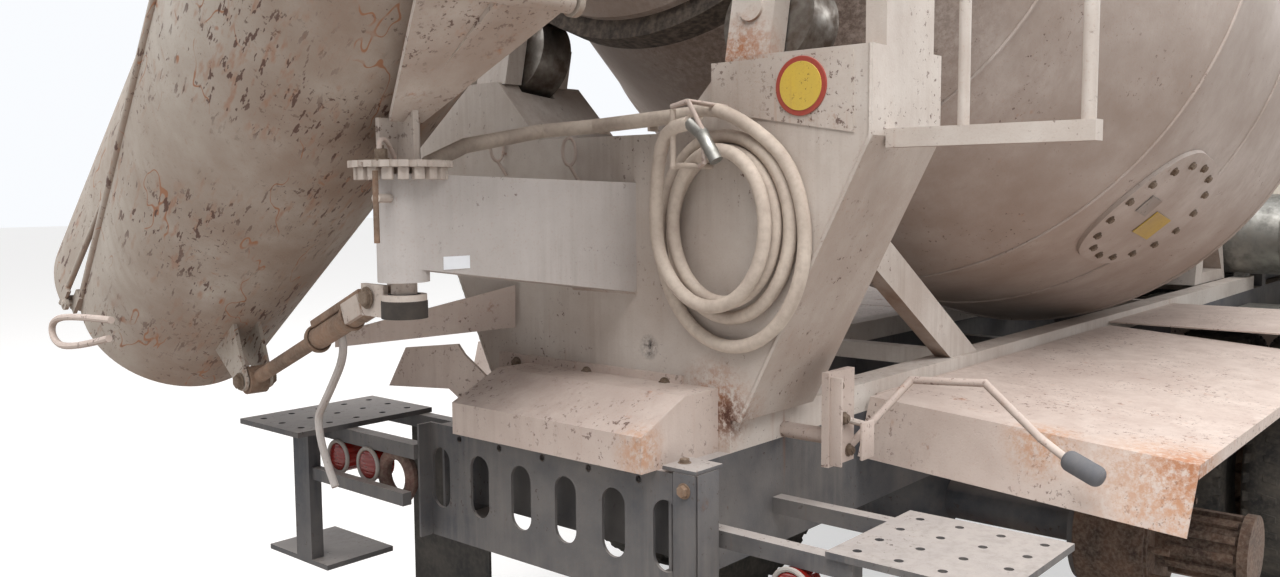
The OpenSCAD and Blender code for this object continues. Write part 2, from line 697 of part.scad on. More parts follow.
// Steering knuckle: fork, king pin, stub axle and steering arm.
stub_y = 1150;
knuckle_shaft = 40;
module knuckle(side) color(black) placed() translate([front_axle_x, 0, 0]) mirror([0, side < 0 ? 1 : 0, 0]) {
  translate([0, king_y, axle_z - 110]) cylinder(r = king_r, h = 220);
  for (s = [-1, 1]) translate([0, king_y, axle_z + s * 92 - 18]) cylinder(r = 44, h = 36);
  difference() {
    span([-44, king_y, axle_z - 110], [44, king_y + 75, axle_z + 110]);
    translate([0, king_y, axle_z - 73.5]) cylinder(r = 50, h = 147);
  }
  rod_y(0, axle_z, knuckle_shaft, king_y + 60, stub_y);
  span([arm_x - 20, king_y - 20, axle_z - 108], [0, king_y + 20, axle_z - 80]);
  translate([arm_x, king_y, axle_z - 140]) cylinder(r = arm_pin_r, h = 50);
}
module knuckle_left() knuckle(1);
module knuckle_right() knuckle(-1);

// Tie rod between the two steering arms.
arm_x = -170;
arm_pin_r = 12;
module tie_rod() color(black) placed() translate([front_axle_x + arm_x, 0, axle_z - 138]) difference() {
  union() {
    rod_y(0, 14, 14, -king_y, king_y);
    both() translate([0, king_y, 0]) cylinder(r = 24, h = 28);
  }
  both() translate([0, king_y, -1]) cylinder(r = arm_pin_r + 0.05, h = 30);
}

// Driven axles: housings, brake backing plates, springs and torque rods.
spindle_r = 45;
hub_in = 700;
module drive_axles() color(black) placed() {
  for (x = [rear_axle_x, mid_axle_x]) {
    rod_y(x, axle_z, 75, -hub_in + 20, hub_in - 20);
    translate([x, 0, axle_z]) sphere(r = 215);
    both() {
      rod_y(x, axle_z, spindle_r, hub_in - 30, twin_y + 190);
      rod_y(x, axle_z, 190, hub_in - 22, hub_in - 5);
    }
    rod_x(0, axle_z, 60, x, x + 290);
  }
  both() {
    translate([rear_axle_x + bogie_pitch / 2, 500, 800]) leaf_pack(bogie_pitch + 100, -110, 7);
    span([rear_axle_x + bogie_pitch / 2 - 110, frame_half, 620],
         [rear_axle_x + bogie_pitch / 2 + 110, 460, 860]);
    rod_y(rear_axle_x + bogie_pitch / 2, 660, 50, 440, 560);
    for (x = [rear_axle_x, mid_axle_x])
      span([x - 50, 465, axle_z + 60], [x + 50, 535, 688]);
  }
}

// Tyre and rim sections: r outwards, z along the wheel's axle, outboard positive.
rim_r = rim_d / 2;
tyre_round = 55;
offset_face = twin_pitch / 2;
module tyre_section() {
  r0 = rim_r + 0.05;
  r1 = tyre_d / 2;
  translate([r0 + 30, -tyre_w / 2]) square([r1 - r0 - 30 - tyre_round, tyre_w]);
  translate([r0, 25 - tyre_w / 2]) square([40, tyre_w - 50]);
  translate([r0 + 60, tyre_round - tyre_w / 2]) square([r1 - r0 - 60, tyre_w - 2 * tyre_round]);
  for (s = [-1, 1]) translate([r1 - tyre_round, s * (tyre_w / 2 - tyre_round)])
    circle(r = tyre_round, $fn = 32);
}
module rim_section() polygon([
  [rim_r - 20, -115], [rim_r, -115], [rim_r, 115], [rim_r - 20, 115],
  [rim_r - 20, 100], [215, offset_face], [stud_circle_d / 2 - 55, offset_face],
  [stud_circle_d / 2 - 55, offset_face - 12], [205, offset_face - 12], [rim_r - 20, 70]
]);
module rim_solid() difference() {
  rotate_extrude($fn = 128) rim_section();
  for (a = [0 : 36 : 324]) rotate([0, 0, a]) translate([228, 0, 90])
    cylinder(r = 24, h = 100, $fn = 24);
}
module tyre_solid() rotate_extrude($fn = 128) tyre_section();

// Hub of a driven axle: brake drum, flange, studs, fluted hub and end cap.
hub_r = 108;
module driven_hub() difference() {
  union() {
    rod_y(0, 0, 205, hub_in, 915);
    rod_y(0, 0, 190, 905, twin_y - 12);
    rod_y(0, 0, hub_r - 12, 915, 1160);
    for (a = [0 : 30 : 330]) rotate([0, a, 0])
      span([hub_r - 16, twin_y + 20, -12], [hub_r + 2, 1150, 12]);
    rod_y(0, 0, hub_r + 10, 1160, 1190);
    for (k = [0 : stud_count - 1]) rotate([0, k * 360 / stud_count, 0])
      rod_y(stud_circle_d / 2, 0, 11, 915, twin_y + 50);
  }
  rod_y(0, 0, spindle_r + 0.05, hub_in - 1, twin_y + 191);
  rod_y(0, 0, 192, hub_in - 1, 880);
}
// Puts a rim or a tyre at each of the two places of a twin wheel, outboard sides outwards.
module at_twins(x) translate([x, 0, axle_z]) for (s = [-1, 1])
  translate([0, twin_y + s * offset_face, 0]) rotate([s * 90, 0, 0]) children();
module twin_wheels(x) {
  translate([x, 0, axle_z]) driven_hub();
  at_twins(x) rim_solid();
}
module wheels_mid_left() color(rust) placed() twin_wheels(mid_axle_x);
module wheels_mid_right() color(rust) placed() mirror([0, 1, 0]) twin_wheels(mid_axle_x);
module wheels_rear_left() color(rust) placed() twin_wheels(rear_axle_x);
module hub_rear_right() color(rust) placed() mirror([0, 1, 0]) translate([rear_axle_x, 0, axle_z]) driven_hub();
module tyres_mid_left() color(rubber) placed() at_twins(mid_axle_x) tyre_solid();
module tyres_mid_right() color(rubber) placed() mirror([0, 1, 0]) at_twins(mid_axle_x) tyre_solid();
module tyres_rear_left() color(rubber) placed() at_twins(rear_axle_x) tyre_solid();

// Front wheels, each with its hub on the knuckle's stub axle.
module at_front() translate([front_axle_x, front_track_y, axle_z]) rotate([-90, 0, 0]) children();
module front_wheel() {
  at_front() rim_solid();
  translate([front_axle_x, 0, axle_z]) difference() {
    union() {
      rod_y(0, 0, 200, 945, 1120);
      rod_y(0, 0, 185, 1120, front_track_y + offset_face - 12);
      rod_y(0, 0, 112, front_track_y + offset_face - 20, 1235);
    }
    rod_y(0, 0, knuckle_shaft + 0.05, 940, stub_y + 1);
    rod_y(0, 0, 187, 940, 1090);
  }
}
module wheel_front_left() color(rust) placed() front_wheel();
module wheel_front_right() color(rust) placed() mirror([0, 1, 0]) front_wheel();
module tyre_front_left() color(rubber) placed() at_front() tyre_solid();
module tyre_front_right() color(rubber) placed() mirror([0, 1, 0]) at_front() tyre_solid();

// Fuel tank, battery box, air tanks and the water tank behind the cab.
module tanks() color(steel) placed() {
  plate_xz_round([4450, 420, 560], [5450, 1150, 1010], 90);
  span([5000, -1150, 620], [5450, -420, 960]);
  for (z = [640, 900]) rod_x(-760, z, 120, 4100, 4850);
  for (x = [4200, 4700]) span([x, -760, 600], [x + 40, -frame_half, 950]);
  rod_y(5540, sub_top + 260, 240, -850, 850);
  for (y = [-355, 355]) span([5480, y - 30, sub_top], [5600, y + 30, sub_top + 60]);
  for (x = [4600, 5250]) span([x, frame_half, 700], [x + 60, 421, 900]);
  for (x = [5050, 5350]) span([x, -421, 700], [x + 60, -frame_half, 900]);
}
module plate_xz_round(low, high, r) {
  span([low[0], low[1], low[2] + r], [high[0], high[1] , high[2] - r]);
  span([low[0], low[1] + r, low[2]], [high[0], high[1] - r, high[2]]);
  for (y = [low[1] + r, high[1] - r]) for (z = [low[2] + r, high[2] - r])
    translate([low[0], y, z]) rotate([0, 90, 0]) cylinder(r = r, h = high[0] - low[0]);
}

// Engine block, gearbox and propeller shafts.
module driveline() color(black) placed() {
  span([5950, -300, 640], [7100, 300, 1090]);
  span([5300, -190, 640], [5950, 190, 960]);
  both() span([6450, 299, 840], [6550, frame_half - rail_t - gap, 900]);
  pipe([[5310, 0, 700], [mid_axle_x + 345, 0, axle_z], [mid_axle_x + 290 + gap, 0, axle_z]], 50);
  rod_x(0, axle_z, 45, rear_axle_x + 290 + gap, mid_axle_x - 215 - gap);
}

// Front bumper with lamp recesses, and the cab steps behind its corners.
module bumper() color(cream) placed() {
  difference() {
    span([bumper_rear, -1230, 480], [bumper_front, 1230, 930]);
    span([bumper_rear - 1, -1190, 440], [bumper_front - 60, 1190, 970]);
    both() rod_x(880, 700, lamp_r + gap, bumper_front - 70, bumper_front + 1);
    span([bumper_front - 61, -500, 600], [bumper_front + 1, 500, 700]);
  }
  both() {
    span([bumper_rear - 182, frame_half, 800], [bumper_front - 59, frame_half + 60, 900]);
    for (z = [560, 860]) span([bumper_rear - 432, 900, z], [bumper_rear + 1, 1200, z + 20]);
    span([bumper_rear - 432, 900, 560], [bumper_rear - 420, 1200, 1000]);
    rod_y(pivot_x, pivot_z, pivot_r, 320, 380);
    span([pivot_x - 30, 358, frame_top], [pivot_x + 30, 380, pivot_z + 30]);
  }
}
bumper_front = 7960;
bumper_rear = 7682;
lamp_r = 95;
// The cab's tilting pivot.
pivot_x = 7620;
pivot_z = 1080;
pivot_r = 20;

// Control lever: bracket, cross tube and a bent rod with a grey knob.
module control_lever() color(cream) placed() {
  rod_y(450, 1050, 20, -540, -frame_half - gap);
  span([400, -560, 985], [520, -540, 1215]);
  pipe([[500, -550, 1010], [700, -622, 1165], [740, -800, 1171], [750, -937, 1050],
        [750, -1000, 1010]], 10);
  translate([750, -995, 1012]) rotate([0, 60, -90]) rotate([0, 60, 0]) cylinder(r = 10, h = 5);
  pipe([[750, -1000, 1010], [750, -1080, 975]], 22);
}

// Water pipe along the pedestal, held by two wire loops, and the hose's hook.
pipe_r = 18;
pipe_x = ped_x - 27;
coil_c = [-400, 1530];
coil_w = 500;
coil_h = 615;
coil_band = 110;
coil_t = 80;
coil_front = ped_x - 50 - coil_t;
hook_y = coil_c[0] + 55;
hook_z = coil_c[1] + coil_h / 2 - coil_band - 20;
module water_pipe() color("#a39a8b") placed() {
  pipe([[pipe_x, -330, 1830], [pipe_x, 0, 1815], [120, 120, 1805], [-150, 100, 1760],
        [-290, 62, 1715]], pipe_r);
  for (y = [-180, -20]) span([pipe_x - 4, y - 4, 1795], [ped_x, y + 4, 1815]);
  pipe([[ped_x, hook_y, hook_z], [coil_front - 12, hook_y, hook_z], [coil_front - 12, hook_y, 1832]], 7);
}

// Coiled hose hung on the pedestal's face, and its nozzle.
module coil_oval(w, h) {
  for (s = [-1, 1]) translate([0, s * (h - w) / 2]) circle(r = w / 2);
  translate([-w / 2, -(h - w) / 2]) square([w, h - w]);
}
module hose_coil() color("#8f8577") placed()
  translate([coil_front, coil_c[0], coil_c[1]]) rotate([90, 0, 90])
    linear_extrude(coil_t) difference() {
      coil_oval(coil_w, coil_h);
      coil_oval(coil_w - 2 * coil_band, coil_h - 2 * coil_band);
    }

// Steel tube on the hose's free end, hung over the coil.
nozzle_x = coil_front - 15 - 2 * gap;
module hose_nozzle() color(steel) placed()
  pipe([[nozzle_x, -395, 1800], [nozzle_x, -430, 1775], [nozzle_x, -470, 1715]], 15);

// Cab shell with its windows and door openings cut.
cab_front = cab_rear + cab_len;
belt_z = 1900;
door_front = cab_front - 160;
door_rear = door_front - door_w;
door_low = cab_floor + 50;
door_high = cab_roof - 130;
door_gap = 5;
module cab_profile(t) polygon([
  [cab_rear + t, cab_floor + t], [cab_rear + t, cab_roof - 60 - t], [cab_rear + 60 + t, cab_roof - t],
  [cab_front - 320 - t / 2, cab_roof - t], [cab_front - 200 - t, cab_roof - 100 - t / 2],
  [cab_front - t, belt_z - t / 2], [cab_front - t, cab_floor + t]
]);
module door_outline(g) polygon([
  [door_rear + g, door_low + g], [door_rear + g, door_high - g], [door_front - 110 - g, door_high - g],
  [door_front - g, belt_z], [door_front - g, door_low + g]
]);
module window_outline(g) polygon([
  [door_rear + 70 + g, belt_z + g], [door_rear + 70 + g, door_high - 80 - g],
  [door_front - 170 - g, door_high - 80 - g], [door_front - 80 - g, belt_z + g]
]);
module side_cut(y0, y1) translate([0, y1, 0]) rotate([90, 0, 0]) linear_extrude(y1 - y0) children();
screen_y = cab_w / 2 - 140;
// Door hinges: a barrel on the door between two ears on the cab, with a fixed pin.
hinge_zs = [1300, 1740];
hinge_y = cab_w / 2 + 14;
module door_hinges_cab() both() for (z = hinge_zs) {
  for (dz = [-22, 61]) translate([door_front, hinge_y, z + dz]) cylinder(r = 14, h = 21);
  translate([door_front, hinge_y, z - 22]) cylinder(r = 8, h = 104);
  for (dz = [-22, 61]) span([door_front, cab_w / 2, z + dz], [door_front + 60, cab_w / 2 + 9, z + dz + 21]);
}
module door_hinges() for (z = hinge_zs) difference() {
  union() {
    translate([door_front, hinge_y, z]) cylinder(r = 14, h = 60);
    span([door_front - 70, cab_w / 2 - 1, z], [door_front, cab_w / 2 + 9, z + 60]);
  }
  translate([door_front, hinge_y, z - 1]) cylinder(r = 8.05, h = 62);
  span([door_front - door_gap, cab_w / 2 - 2, z - 1], [door_front + 20, cab_w / 2, z + 61]);
}
module cab_shell() color(cream) placed() {
  cab_box();
  door_hinges_cab();
  both() difference() {
    union() {
      rod_y(pivot_x, pivot_z, 38, 325, 350);
      span([pivot_x - 38, 325, pivot_z], [pivot_x + 38, 350, cab_floor + 1]);
    }
    rod_y(pivot_x, pivot_z, pivot_r + 0.05, 320, 355);
  }
}
module cab_box() difference() {
  side_cut(-cab_w / 2, cab_w / 2) cab_profile(0);
  side_cut(-cab_w / 2 + wall_t, cab_w / 2 - wall_t) cab_profile(wall_t);
  both() side_cut(cab_w / 2 - wall_t - 1, cab_w / 2 + 1) door_outline(0);
  both() span([cab_rear + 250, cab_w / 2 - wall_t - 1, belt_z], [door_rear - 200, cab_w / 2 + 1, 2500]);
  span([cab_front - 260, -screen_y, belt_z + 60], [cab_front + 10, screen_y, cab_roof - 210]);
  span([cab_rear - 1, -500, belt_z + 100], [cab_rear + wall_t + 1, 500, cab_roof - 300]);
  for (z = [1300 : 90 : 1660]) span([cab_front - 18, -700, z], [cab_front + 1, 700, z + 45]);
}
module cab_glass() color("#27343a") placed() {
  side_cut(-screen_y, screen_y) polygon([
    [cab_front - 200 + 12, cab_roof - 210], [cab_front - 196, cab_roof - 210],
    [cab_front - 20, belt_z + 60], [cab_front - 14, belt_z + 60]]);
  span([cab_rear + 20, -500, belt_z + 100], [cab_rear + 26, 500, cab_roof - 300]);
  both() span([cab_rear + 250, cab_w / 2 - 26, belt_z], [door_rear - 200, cab_w / 2 - 20, 2500]);
}
module door(side) color(cream) placed() mirror([0, side < 0 ? 1 : 0, 0]) {
  side_cut(cab_w / 2 - wall_t, cab_w / 2) difference() {
    door_outline(door_gap);
    window_outline(0);
  }
  door_hinges();
}
module door_left() door(1);
module door_right() door(-1);
module door_glass(side) color("#27343a") placed() mirror([0, side < 0 ? 1 : 0, 0])
  side_cut(cab_w / 2 - 26, cab_w / 2 - 20) window_outline(0);
module door_glass_left() door_glass(1);
module door_glass_right() door_glass(-1);

// Seats, dashboard, steering column and wheel.
in_floor = cab_floor + wall_t;
seat_x = cab_rear + 1070;
seat_top = cab_roof - 555;
module cab_interior() color("#2f2f31") placed() {
  both() {
    span([seat_x, 380, in_floor], [seat_x + 450, 860, in_floor + 330]);
    span([seat_x, 350, in_floor + 330], [seat_x + 520, 890, in_floor + 470]);
    plate_xz([[seat_x - 120, in_floor + 469], [seat_x + 80, in_floor + 469], [seat_x - 20, seat_top],
              [seat_x - 160, seat_top]], 370, 870);
  }
  span([cab_front - 430, -cab_w / 2 + wall_t + 40, in_floor + 450],
       [cab_front - wall_t - 5, cab_w / 2 - wall_t - 40, belt_z - 20]);
  span([cab_front - 400, -1000, in_floor], [cab_front - 300, 1000, in_floor + 460]);
  pipe([[cab_front - 220, 620, in_floor + 200], [cab_front - 450, 620, in_floor + 690]], 25);
  translate([cab_front - 450, 620, in_floor + 690]) rotate([0, -25, 0]) {
    rotate_extrude() translate([225, 0]) circle(r = 15, $fn = 24);
    translate([-225, -18, -8]) cube([450, 36, 16]);
  }
}

// Mirrors on their arms at the windscreen's corners.
module mirrors() color(black) placed() both() {
  span([cab_front - 90, cab_w / 2 + 60, 1950], [cab_front - 50, cab_w / 2 + 260, 2480]);
  for (z = [1990, 2420]) rod_y(cab_front - 125, z, 11, cab_w / 2, cab_w / 2 + 80);
  for (z = [1990, 2420]) span([cab_front - 130, cab_w / 2 + 60, z - 8], [cab_front - 80, cab_w / 2 + 80, z + 8]);
}

frame_rails();
rear_plate();
subframe();
rear_pedestal();
pedestal_cover();
chute_arm();
front_pedestal();
charge_hopper();
discharge_hopper();
side_ladder();
fender_right();
fenders();
rear_steps();
lamps();
mudflaps();
front_axle();
drive_axles();
tanks();
driveline();
bumper();
control_lever();
water_pipe();
hose_coil();
hose_nozzle();
roller_left();
roller_right();
drum_shell();
drum_ring();
manhole_cover();
cab_shell();
cab_glass();
cab_interior();
mirrors();
door_left();
door_right();
door_glass_left();
door_glass_right();
knuckle_left();
knuckle_right();
wheel_front_left();
wheel_front_right();
wheels_mid_left();
wheels_mid_right();
wheels_rear_left();
hub_rear_right();
tie_rod();
tyre_front_left();
tyre_front_right();
tyres_mid_left();
tyres_mid_right();
tyres_rear_left();
chute_yoke();
chute_main();
chute_extension();
jack_barrel();
jack_rod();
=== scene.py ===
# %% [markdown]
# # A concrete mixer truck
# The solids come from the truck's CAD model and keep their places. This lesson gives every surface its finish and
# models what the solids leave plain: the hose's turns, tyre treads, bolts, blades, welds and lamps. Everything is
# in metres, with X towards the cab, Y to the truck's left and Z up.

# %% Load the frame
import math

import bmesh
import bpy
from mathutils import Matrix, Quaternion, Vector


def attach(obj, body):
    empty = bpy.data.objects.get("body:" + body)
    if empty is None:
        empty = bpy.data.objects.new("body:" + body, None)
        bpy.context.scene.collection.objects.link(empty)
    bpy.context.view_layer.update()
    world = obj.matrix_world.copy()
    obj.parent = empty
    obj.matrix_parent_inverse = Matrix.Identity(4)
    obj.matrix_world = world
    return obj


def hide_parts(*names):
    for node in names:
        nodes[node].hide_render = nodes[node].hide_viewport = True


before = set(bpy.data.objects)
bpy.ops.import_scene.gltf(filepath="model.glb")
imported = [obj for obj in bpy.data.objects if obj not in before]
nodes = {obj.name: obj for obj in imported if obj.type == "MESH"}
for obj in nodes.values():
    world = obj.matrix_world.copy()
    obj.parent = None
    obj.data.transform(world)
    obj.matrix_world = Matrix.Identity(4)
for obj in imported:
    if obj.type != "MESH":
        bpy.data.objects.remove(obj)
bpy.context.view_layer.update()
print("nodes loaded:", len(nodes))

# %% [markdown]
# ## Places on the truck
# A few driving values are repeated from the CAD model. The frame's rear end lies 3.55 m behind the origin, and
# most pieces at the back of the truck are measured forward from it, so one function moves such a place to the
# origin's frame.

# %% Places that many pieces share
FRAME_END = -3.55
PEDESTAL_REAR = 0.22
DRUM_TILT = math.radians(11.5)
RING_PLACE = Vector((0.51, 0.0, 2.726))
WHEEL_HEIGHT = 0.52


def at(x, y, z):
    """A place measured forward from the frame's rear end."""
    return Vector((FRAME_END + x, y, z))


print("the pedestal's rear face is at x =", at(PEDESTAL_REAR, 0, 0).x)

# %% [markdown]
# ## Camera
# The photograph is taken from eye height, two metres from the truck's rear right corner, with a slightly wide lens.
# The camera's turn is built from the direction that it looks in and a small roll, which keeps the numbers few.

# %% Camera
CAMERA_PLACE = at(-1.8227, -1.8929, 1.65)
VIEW_DIRECTION = Vector((0.7526, 0.6527, -0.0892))
CAMERA_ROLL = math.radians(-0.4)
LENS = 30.46

bpy.ops.object.camera_add(location=CAMERA_PLACE)
camera = bpy.context.object
camera.name = "camera"
level_turn = VIEW_DIRECTION.to_track_quat("-Z", "Y")
camera.rotation_euler = (level_turn @ Quaternion((0, 0, 1), CAMERA_ROLL)).to_euler()
camera.data.lens = LENS
camera.data.sensor_width = 36
camera.data.clip_end = 200
bpy.context.scene.camera = camera
print("camera at", [round(value, 3) for value in camera.location])

# %% [markdown]
# ## Hose
# The wash-down hose hangs on a hook in four uneven turns and ends in a short steel tube. Each turn is an oval with
# a width, height and top of its own, and the hose passes smoothly from one to the next. So the route is worked out
# by a loop and drawn as one smooth curve.

# %% The hose's route
HOSE_WIDTH = 0.032
COIL_MIDDLE = -0.400
LAYER = 0.036
TURN_POINTS = 20
COIL_TURNS = 3.82
HOSE_START = at(0.180, -0.330, 1.835)
LEAD_IN = [at(0.176, -0.370, 1.838), at(0.168, -0.425, 1.834)]
LEAD_OUT = [at(0.080, -0.300, 1.772), at(0.075, -0.345, 1.797)]
HOSE_END = at(0.0744, -0.395, 1.800)
# Each turn's width, height and the height of its top.
TURNS = [(0.455, 0.575, 1.815), (0.380, 0.450, 1.780), (0.300, 0.370, 1.745), (0.265, 0.340, 1.745),
         (0.340, 0.420, 1.780)]


def turn_point(turn):
    """A point of the coil after so many turns, counted from the top. The third turn and on lie over the others."""
    index = min(int(turn), len(TURNS) - 2)
    share = turn - index
    width, height, top = [a + (b - a) * share for a, b in zip(TURNS[index], TURNS[index + 1])]
    angle = 2 * math.pi * turn
    depth = HOSE_WIDTH / 2 + 0.002 + LAYER * max(0.0, turn - 2.0)
    return at(PEDESTAL_REAR - depth, COIL_MIDDLE - width / 2 * math.sin(angle),
              top - height / 2 * (1 - math.cos(angle)))


first_step, last_step = 2, int(COIL_TURNS * TURN_POINTS)
coil = [turn_point(step / TURN_POINTS) for step in range(first_step, last_step)]
route = [HOSE_START] + LEAD_IN + coil + LEAD_OUT + [HOSE_END]

# %% [markdown]
# A curve with a round bevel keeps one width all along, which a hose does, and its resolution is only as fine as
# shows.

# %% Draw the hose
def curve_through(points, radius, name, kind="POLY", roundness=3, steps=6, order=3):
    """A round bar, bead or hose of one radius through a few places, with sharp bends or as one soft curve."""
    data = bpy.data.curves.new(name, "CURVE")
    data.dimensions = "3D"
    data.bevel_depth = radius
    data.bevel_resolution = roundness
    data.resolution_u = steps
    data.use_fill_caps = True
    line = data.splines.new(kind)
    line.points.add(len(points) - 1)
    for spot, place in zip(line.points, points):
        spot.co = (*place, 1.0)
    if kind == "NURBS":
        line.order_u = order
        line.use_endpoint_u = True
    piece = bpy.data.objects.new(name, data)
    bpy.context.collection.objects.link(piece)
    return piece


hose = curve_through(route, 1.0, "hose", kind="NURBS", roundness=4, steps=3, order=4)
# The box round a curve grows by each point's own radius, so here the points carry the hose's radius.
for spot in hose.data.splines[0].points:
    spot.radius = HOSE_WIDTH / 2
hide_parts("hose_coil")
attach(hose, "chassis")
print("hose drawn through", len(route), "points")

# %% [markdown]
# ## Colours and nodes
# Colours are written as the sRGB hex values that a paint chart would give, and one function turns them to the
# linear values that the shader wants. Another adds a node with its settings and links, and each material is built
# from it.

# %% Helpers for materials
def linear(hex_value):
    """Turns an sRGB hex colour to linear red, green, blue and alpha."""
    channels = [int(hex_value[i:i + 2], 16) / 255 for i in (1, 3, 5)]
    return [c / 12.92 if c <= 0.04045 else ((c + 0.055) / 1.055) ** 2.4 for c in channels] + [1.0]


def node(owner, kind, inputs=None, **settings):
    """Adds a node to a material or world, sets its options, and links or sets its inputs."""
    made = owner.node_tree.nodes.new(kind)
    for name, value in settings.items():
        setattr(made, name, value)
    for socket, value in (inputs or {}).items():
        if isinstance(value, bpy.types.NodeSocket):
            owner.node_tree.links.new(value, made.inputs[socket])
        else:
            made.inputs[socket].default_value = value
    return made


def new_material(name, roughness, metallic=0.0, ior=1.5):
    """A material with its shader, and the shader's own plain numbers."""
    material = bpy.data.materials.new(name)
    material.use_nodes = True
    shader = material.node_tree.nodes["Principled BSDF"]
    shader.inputs["Roughness"].default_value = roughness
    shader.inputs["Metallic"].default_value = metallic
    if not metallic:
        shader.inputs["IOR"].default_value = ior
    return material, shader


def spots(material, place, size, low, high, detail=6.0, roughness=0.6):
    """Noise with features of a given size in metres, cut between two levels to 0 and 1."""
    noise = node(material, "ShaderNodeTexNoise",
                 {"Vector": place, "Scale": 1 / size, "Detail": detail, "Roughness": roughness})
    return node(material, "ShaderNodeMapRange",
                {"Value": noise.outputs["Fac"], "From Min": low, "From Max": high}).outputs["Result"]


def lay_over(material, under, colour, *shares):
    """Covers one colour with another by the product of a few shares."""
    cover = shares[0]
    for share in shares[1:]:
        cover = node(material, "ShaderNodeMath", {0: cover, 1: share}, operation="MULTIPLY").outputs[0]
    return node(material, "ShaderNodeMix", {0: cover, 6: under, 7: colour}, data_type="RGBA").outputs[2]


def thin_lines(material, place, size, width):
    """Thin curved lines where a soft noise passes its middle value."""
    noise = node(material, "ShaderNodeTexNoise",
                 {"Vector": place, "Scale": 1 / size, "Detail": 3.0, "Roughness": 0.5})
    away = node(material, "ShaderNodeMath", {0: noise.outputs["Fac"], 1: 0.5}, operation="SUBTRACT").outputs[0]
    away = node(material, "ShaderNodeMath", {0: away}, operation="ABSOLUTE").outputs[0]
    return node(material, "ShaderNodeMapRange", {"Value": away, "From Min": width, "From Max": width * 2.5,
                                                 "To Min": 1.0, "To Max": 0.0}).outputs["Result"]


def link(owner, source, target):
    owner.node_tree.links.new(source, target)


print("a dusty cream is", [round(value, 3) for value in linear("#c9bfae")[:3]])

# %% [markdown]
# ## Floor and light
# One broad light overhead and two weak fills read like an overcast yard, where tops are bright and undersides go
# dark. The camera sees the pale floor a little brighter than it is. It also sees a plain white sky, as mirrors
# and glass do, and only the light that the sky sheds is dimmed.

# %% Stage and lights
FLOOR_GLOW = 0.6
SKY_LIGHT = 0.42
WHITE = (1.0, 1.0, 1.0, 1.0)


def area_light(name, place, target, width, power):
    """A square light that faces a target."""
    bpy.ops.object.light_add(type="AREA", location=place)
    lamp = bpy.context.object
    lamp.name = name
    lamp.rotation_euler = (Vector(target) - Vector(place)).to_track_quat("-Z", "Y").to_euler()
    lamp.data.size = width
    lamp.data.energy = power


bpy.ops.object.select_all(action="DESELECT")
bpy.ops.mesh.primitive_plane_add(size=120)
floor = bpy.context.object
floor.name = "floor"
floor_finish, floor_shader = new_material("pale studio floor", 0.9)
path = node(floor_finish, "ShaderNodeLightPath")
glow = node(floor_finish, "ShaderNodeMath", {0: path.outputs["Is Camera Ray"], 1: FLOOR_GLOW}, operation="MULTIPLY")
link(floor_finish, glow.outputs[0], floor_shader.inputs["Emission Strength"])
floor_shader.inputs["Emission Color"].default_value = WHITE
floor_shader.inputs["Base Color"].default_value = (0.50, 0.48, 0.46, 1.0)
floor.data.materials.append(floor_finish)

area_light("sky light", at(-1.5, -2.5, 9), at(1.0, 0, 1.2), 8, 1500)
area_light("left fill", at(-6, 6, 6), at(1.5, 0, 1.4), 6, 260)
area_light("front fill", at(14, -8, 8), at(4, 0, 1.4), 7, 900)

world = bpy.data.worlds.new("overcast sky")
bpy.context.scene.world = world
world.use_nodes = True
path = node(world, "ShaderNodeLightPath")
seen = node(world, "ShaderNodeMath",
            {0: path.outputs["Is Camera Ray"], 1: path.outputs["Is Transmission Ray"]}, operation="MAXIMUM")
seen = node(world, "ShaderNodeMath", {0: seen.outputs[0], 1: path.outputs["Is Glossy Ray"]}, operation="MAXIMUM")
level = node(world, "ShaderNodeMapRange", {"Value": seen.outputs[0], "To Min": SKY_LIGHT, "To Max": 1.0})
sky = world.node_tree.nodes["Background"]
link(world, level.outputs["Result"], sky.inputs["Strength"])
sky.inputs["Color"].default_value = (0.95, 0.97, 1.0, 1.0)

bpy.context.scene.view_settings.view_transform = "Standard"

# %% [markdown]
# ## Working as by hand
# Every new piece starts as a primitive at its size and place. These helpers hold the few moves that each piece
# repeats: starting with nothing selected, picking faces by a rule, and finishing with the place kept in the mesh.

# %% Helpers for modelling
def start_clean():
    """Leaves nothing selected, so that the next operator touches only the new piece."""
    if bpy.context.object and bpy.context.object.mode != "OBJECT":
        bpy.ops.object.mode_set(mode="OBJECT")
    bpy.ops.object.select_all(action="DESELECT")


def make_active(piece):
    start_clean()
    piece.select_set(True)
    bpy.context.view_layer.objects.active = piece


def pick_faces(piece, rule):
    """Selects the faces of a piece that a rule names, and stays in edit mode."""
    make_active(piece)
    bpy.ops.object.mode_set(mode="EDIT")
    bpy.ops.mesh.select_mode(type="FACE")
    bpy.ops.mesh.select_all(action="DESELECT")
    shape = bmesh.from_edit_mesh(piece.data)
    for face in shape.faces:
        face.select = rule(face)
    shape.select_flush_mode()
    bmesh.update_edit_mesh(piece.data)


def leave_edit():
    bpy.ops.object.mode_set(mode="OBJECT")


def apply_modifier(piece, kind, **settings):
    make_active(piece)
    modifier = piece.modifiers.new(kind.title(), kind)
    for name, value in settings.items():
        setattr(modifier, name, value)
    bpy.ops.object.modifier_apply(modifier=modifier.name)


def set_place(piece):
    """Moves the place, turn and scale of a piece into its mesh."""
    make_active(piece)
    bpy.ops.object.transform_apply(location=True, rotation=True, scale=True)


def joined(pieces, name):
    """Makes one object of several, which keeps a row of small parts easy to handle."""
    start_clean()
    for piece in pieces:
        piece.select_set(True)
    bpy.context.view_layer.objects.active = pieces[0]
    if len(pieces) > 1:
        bpy.ops.object.join()
    whole = bpy.context.view_layer.objects.active
    whole.name = name
    whole.data.name = name
    return whole


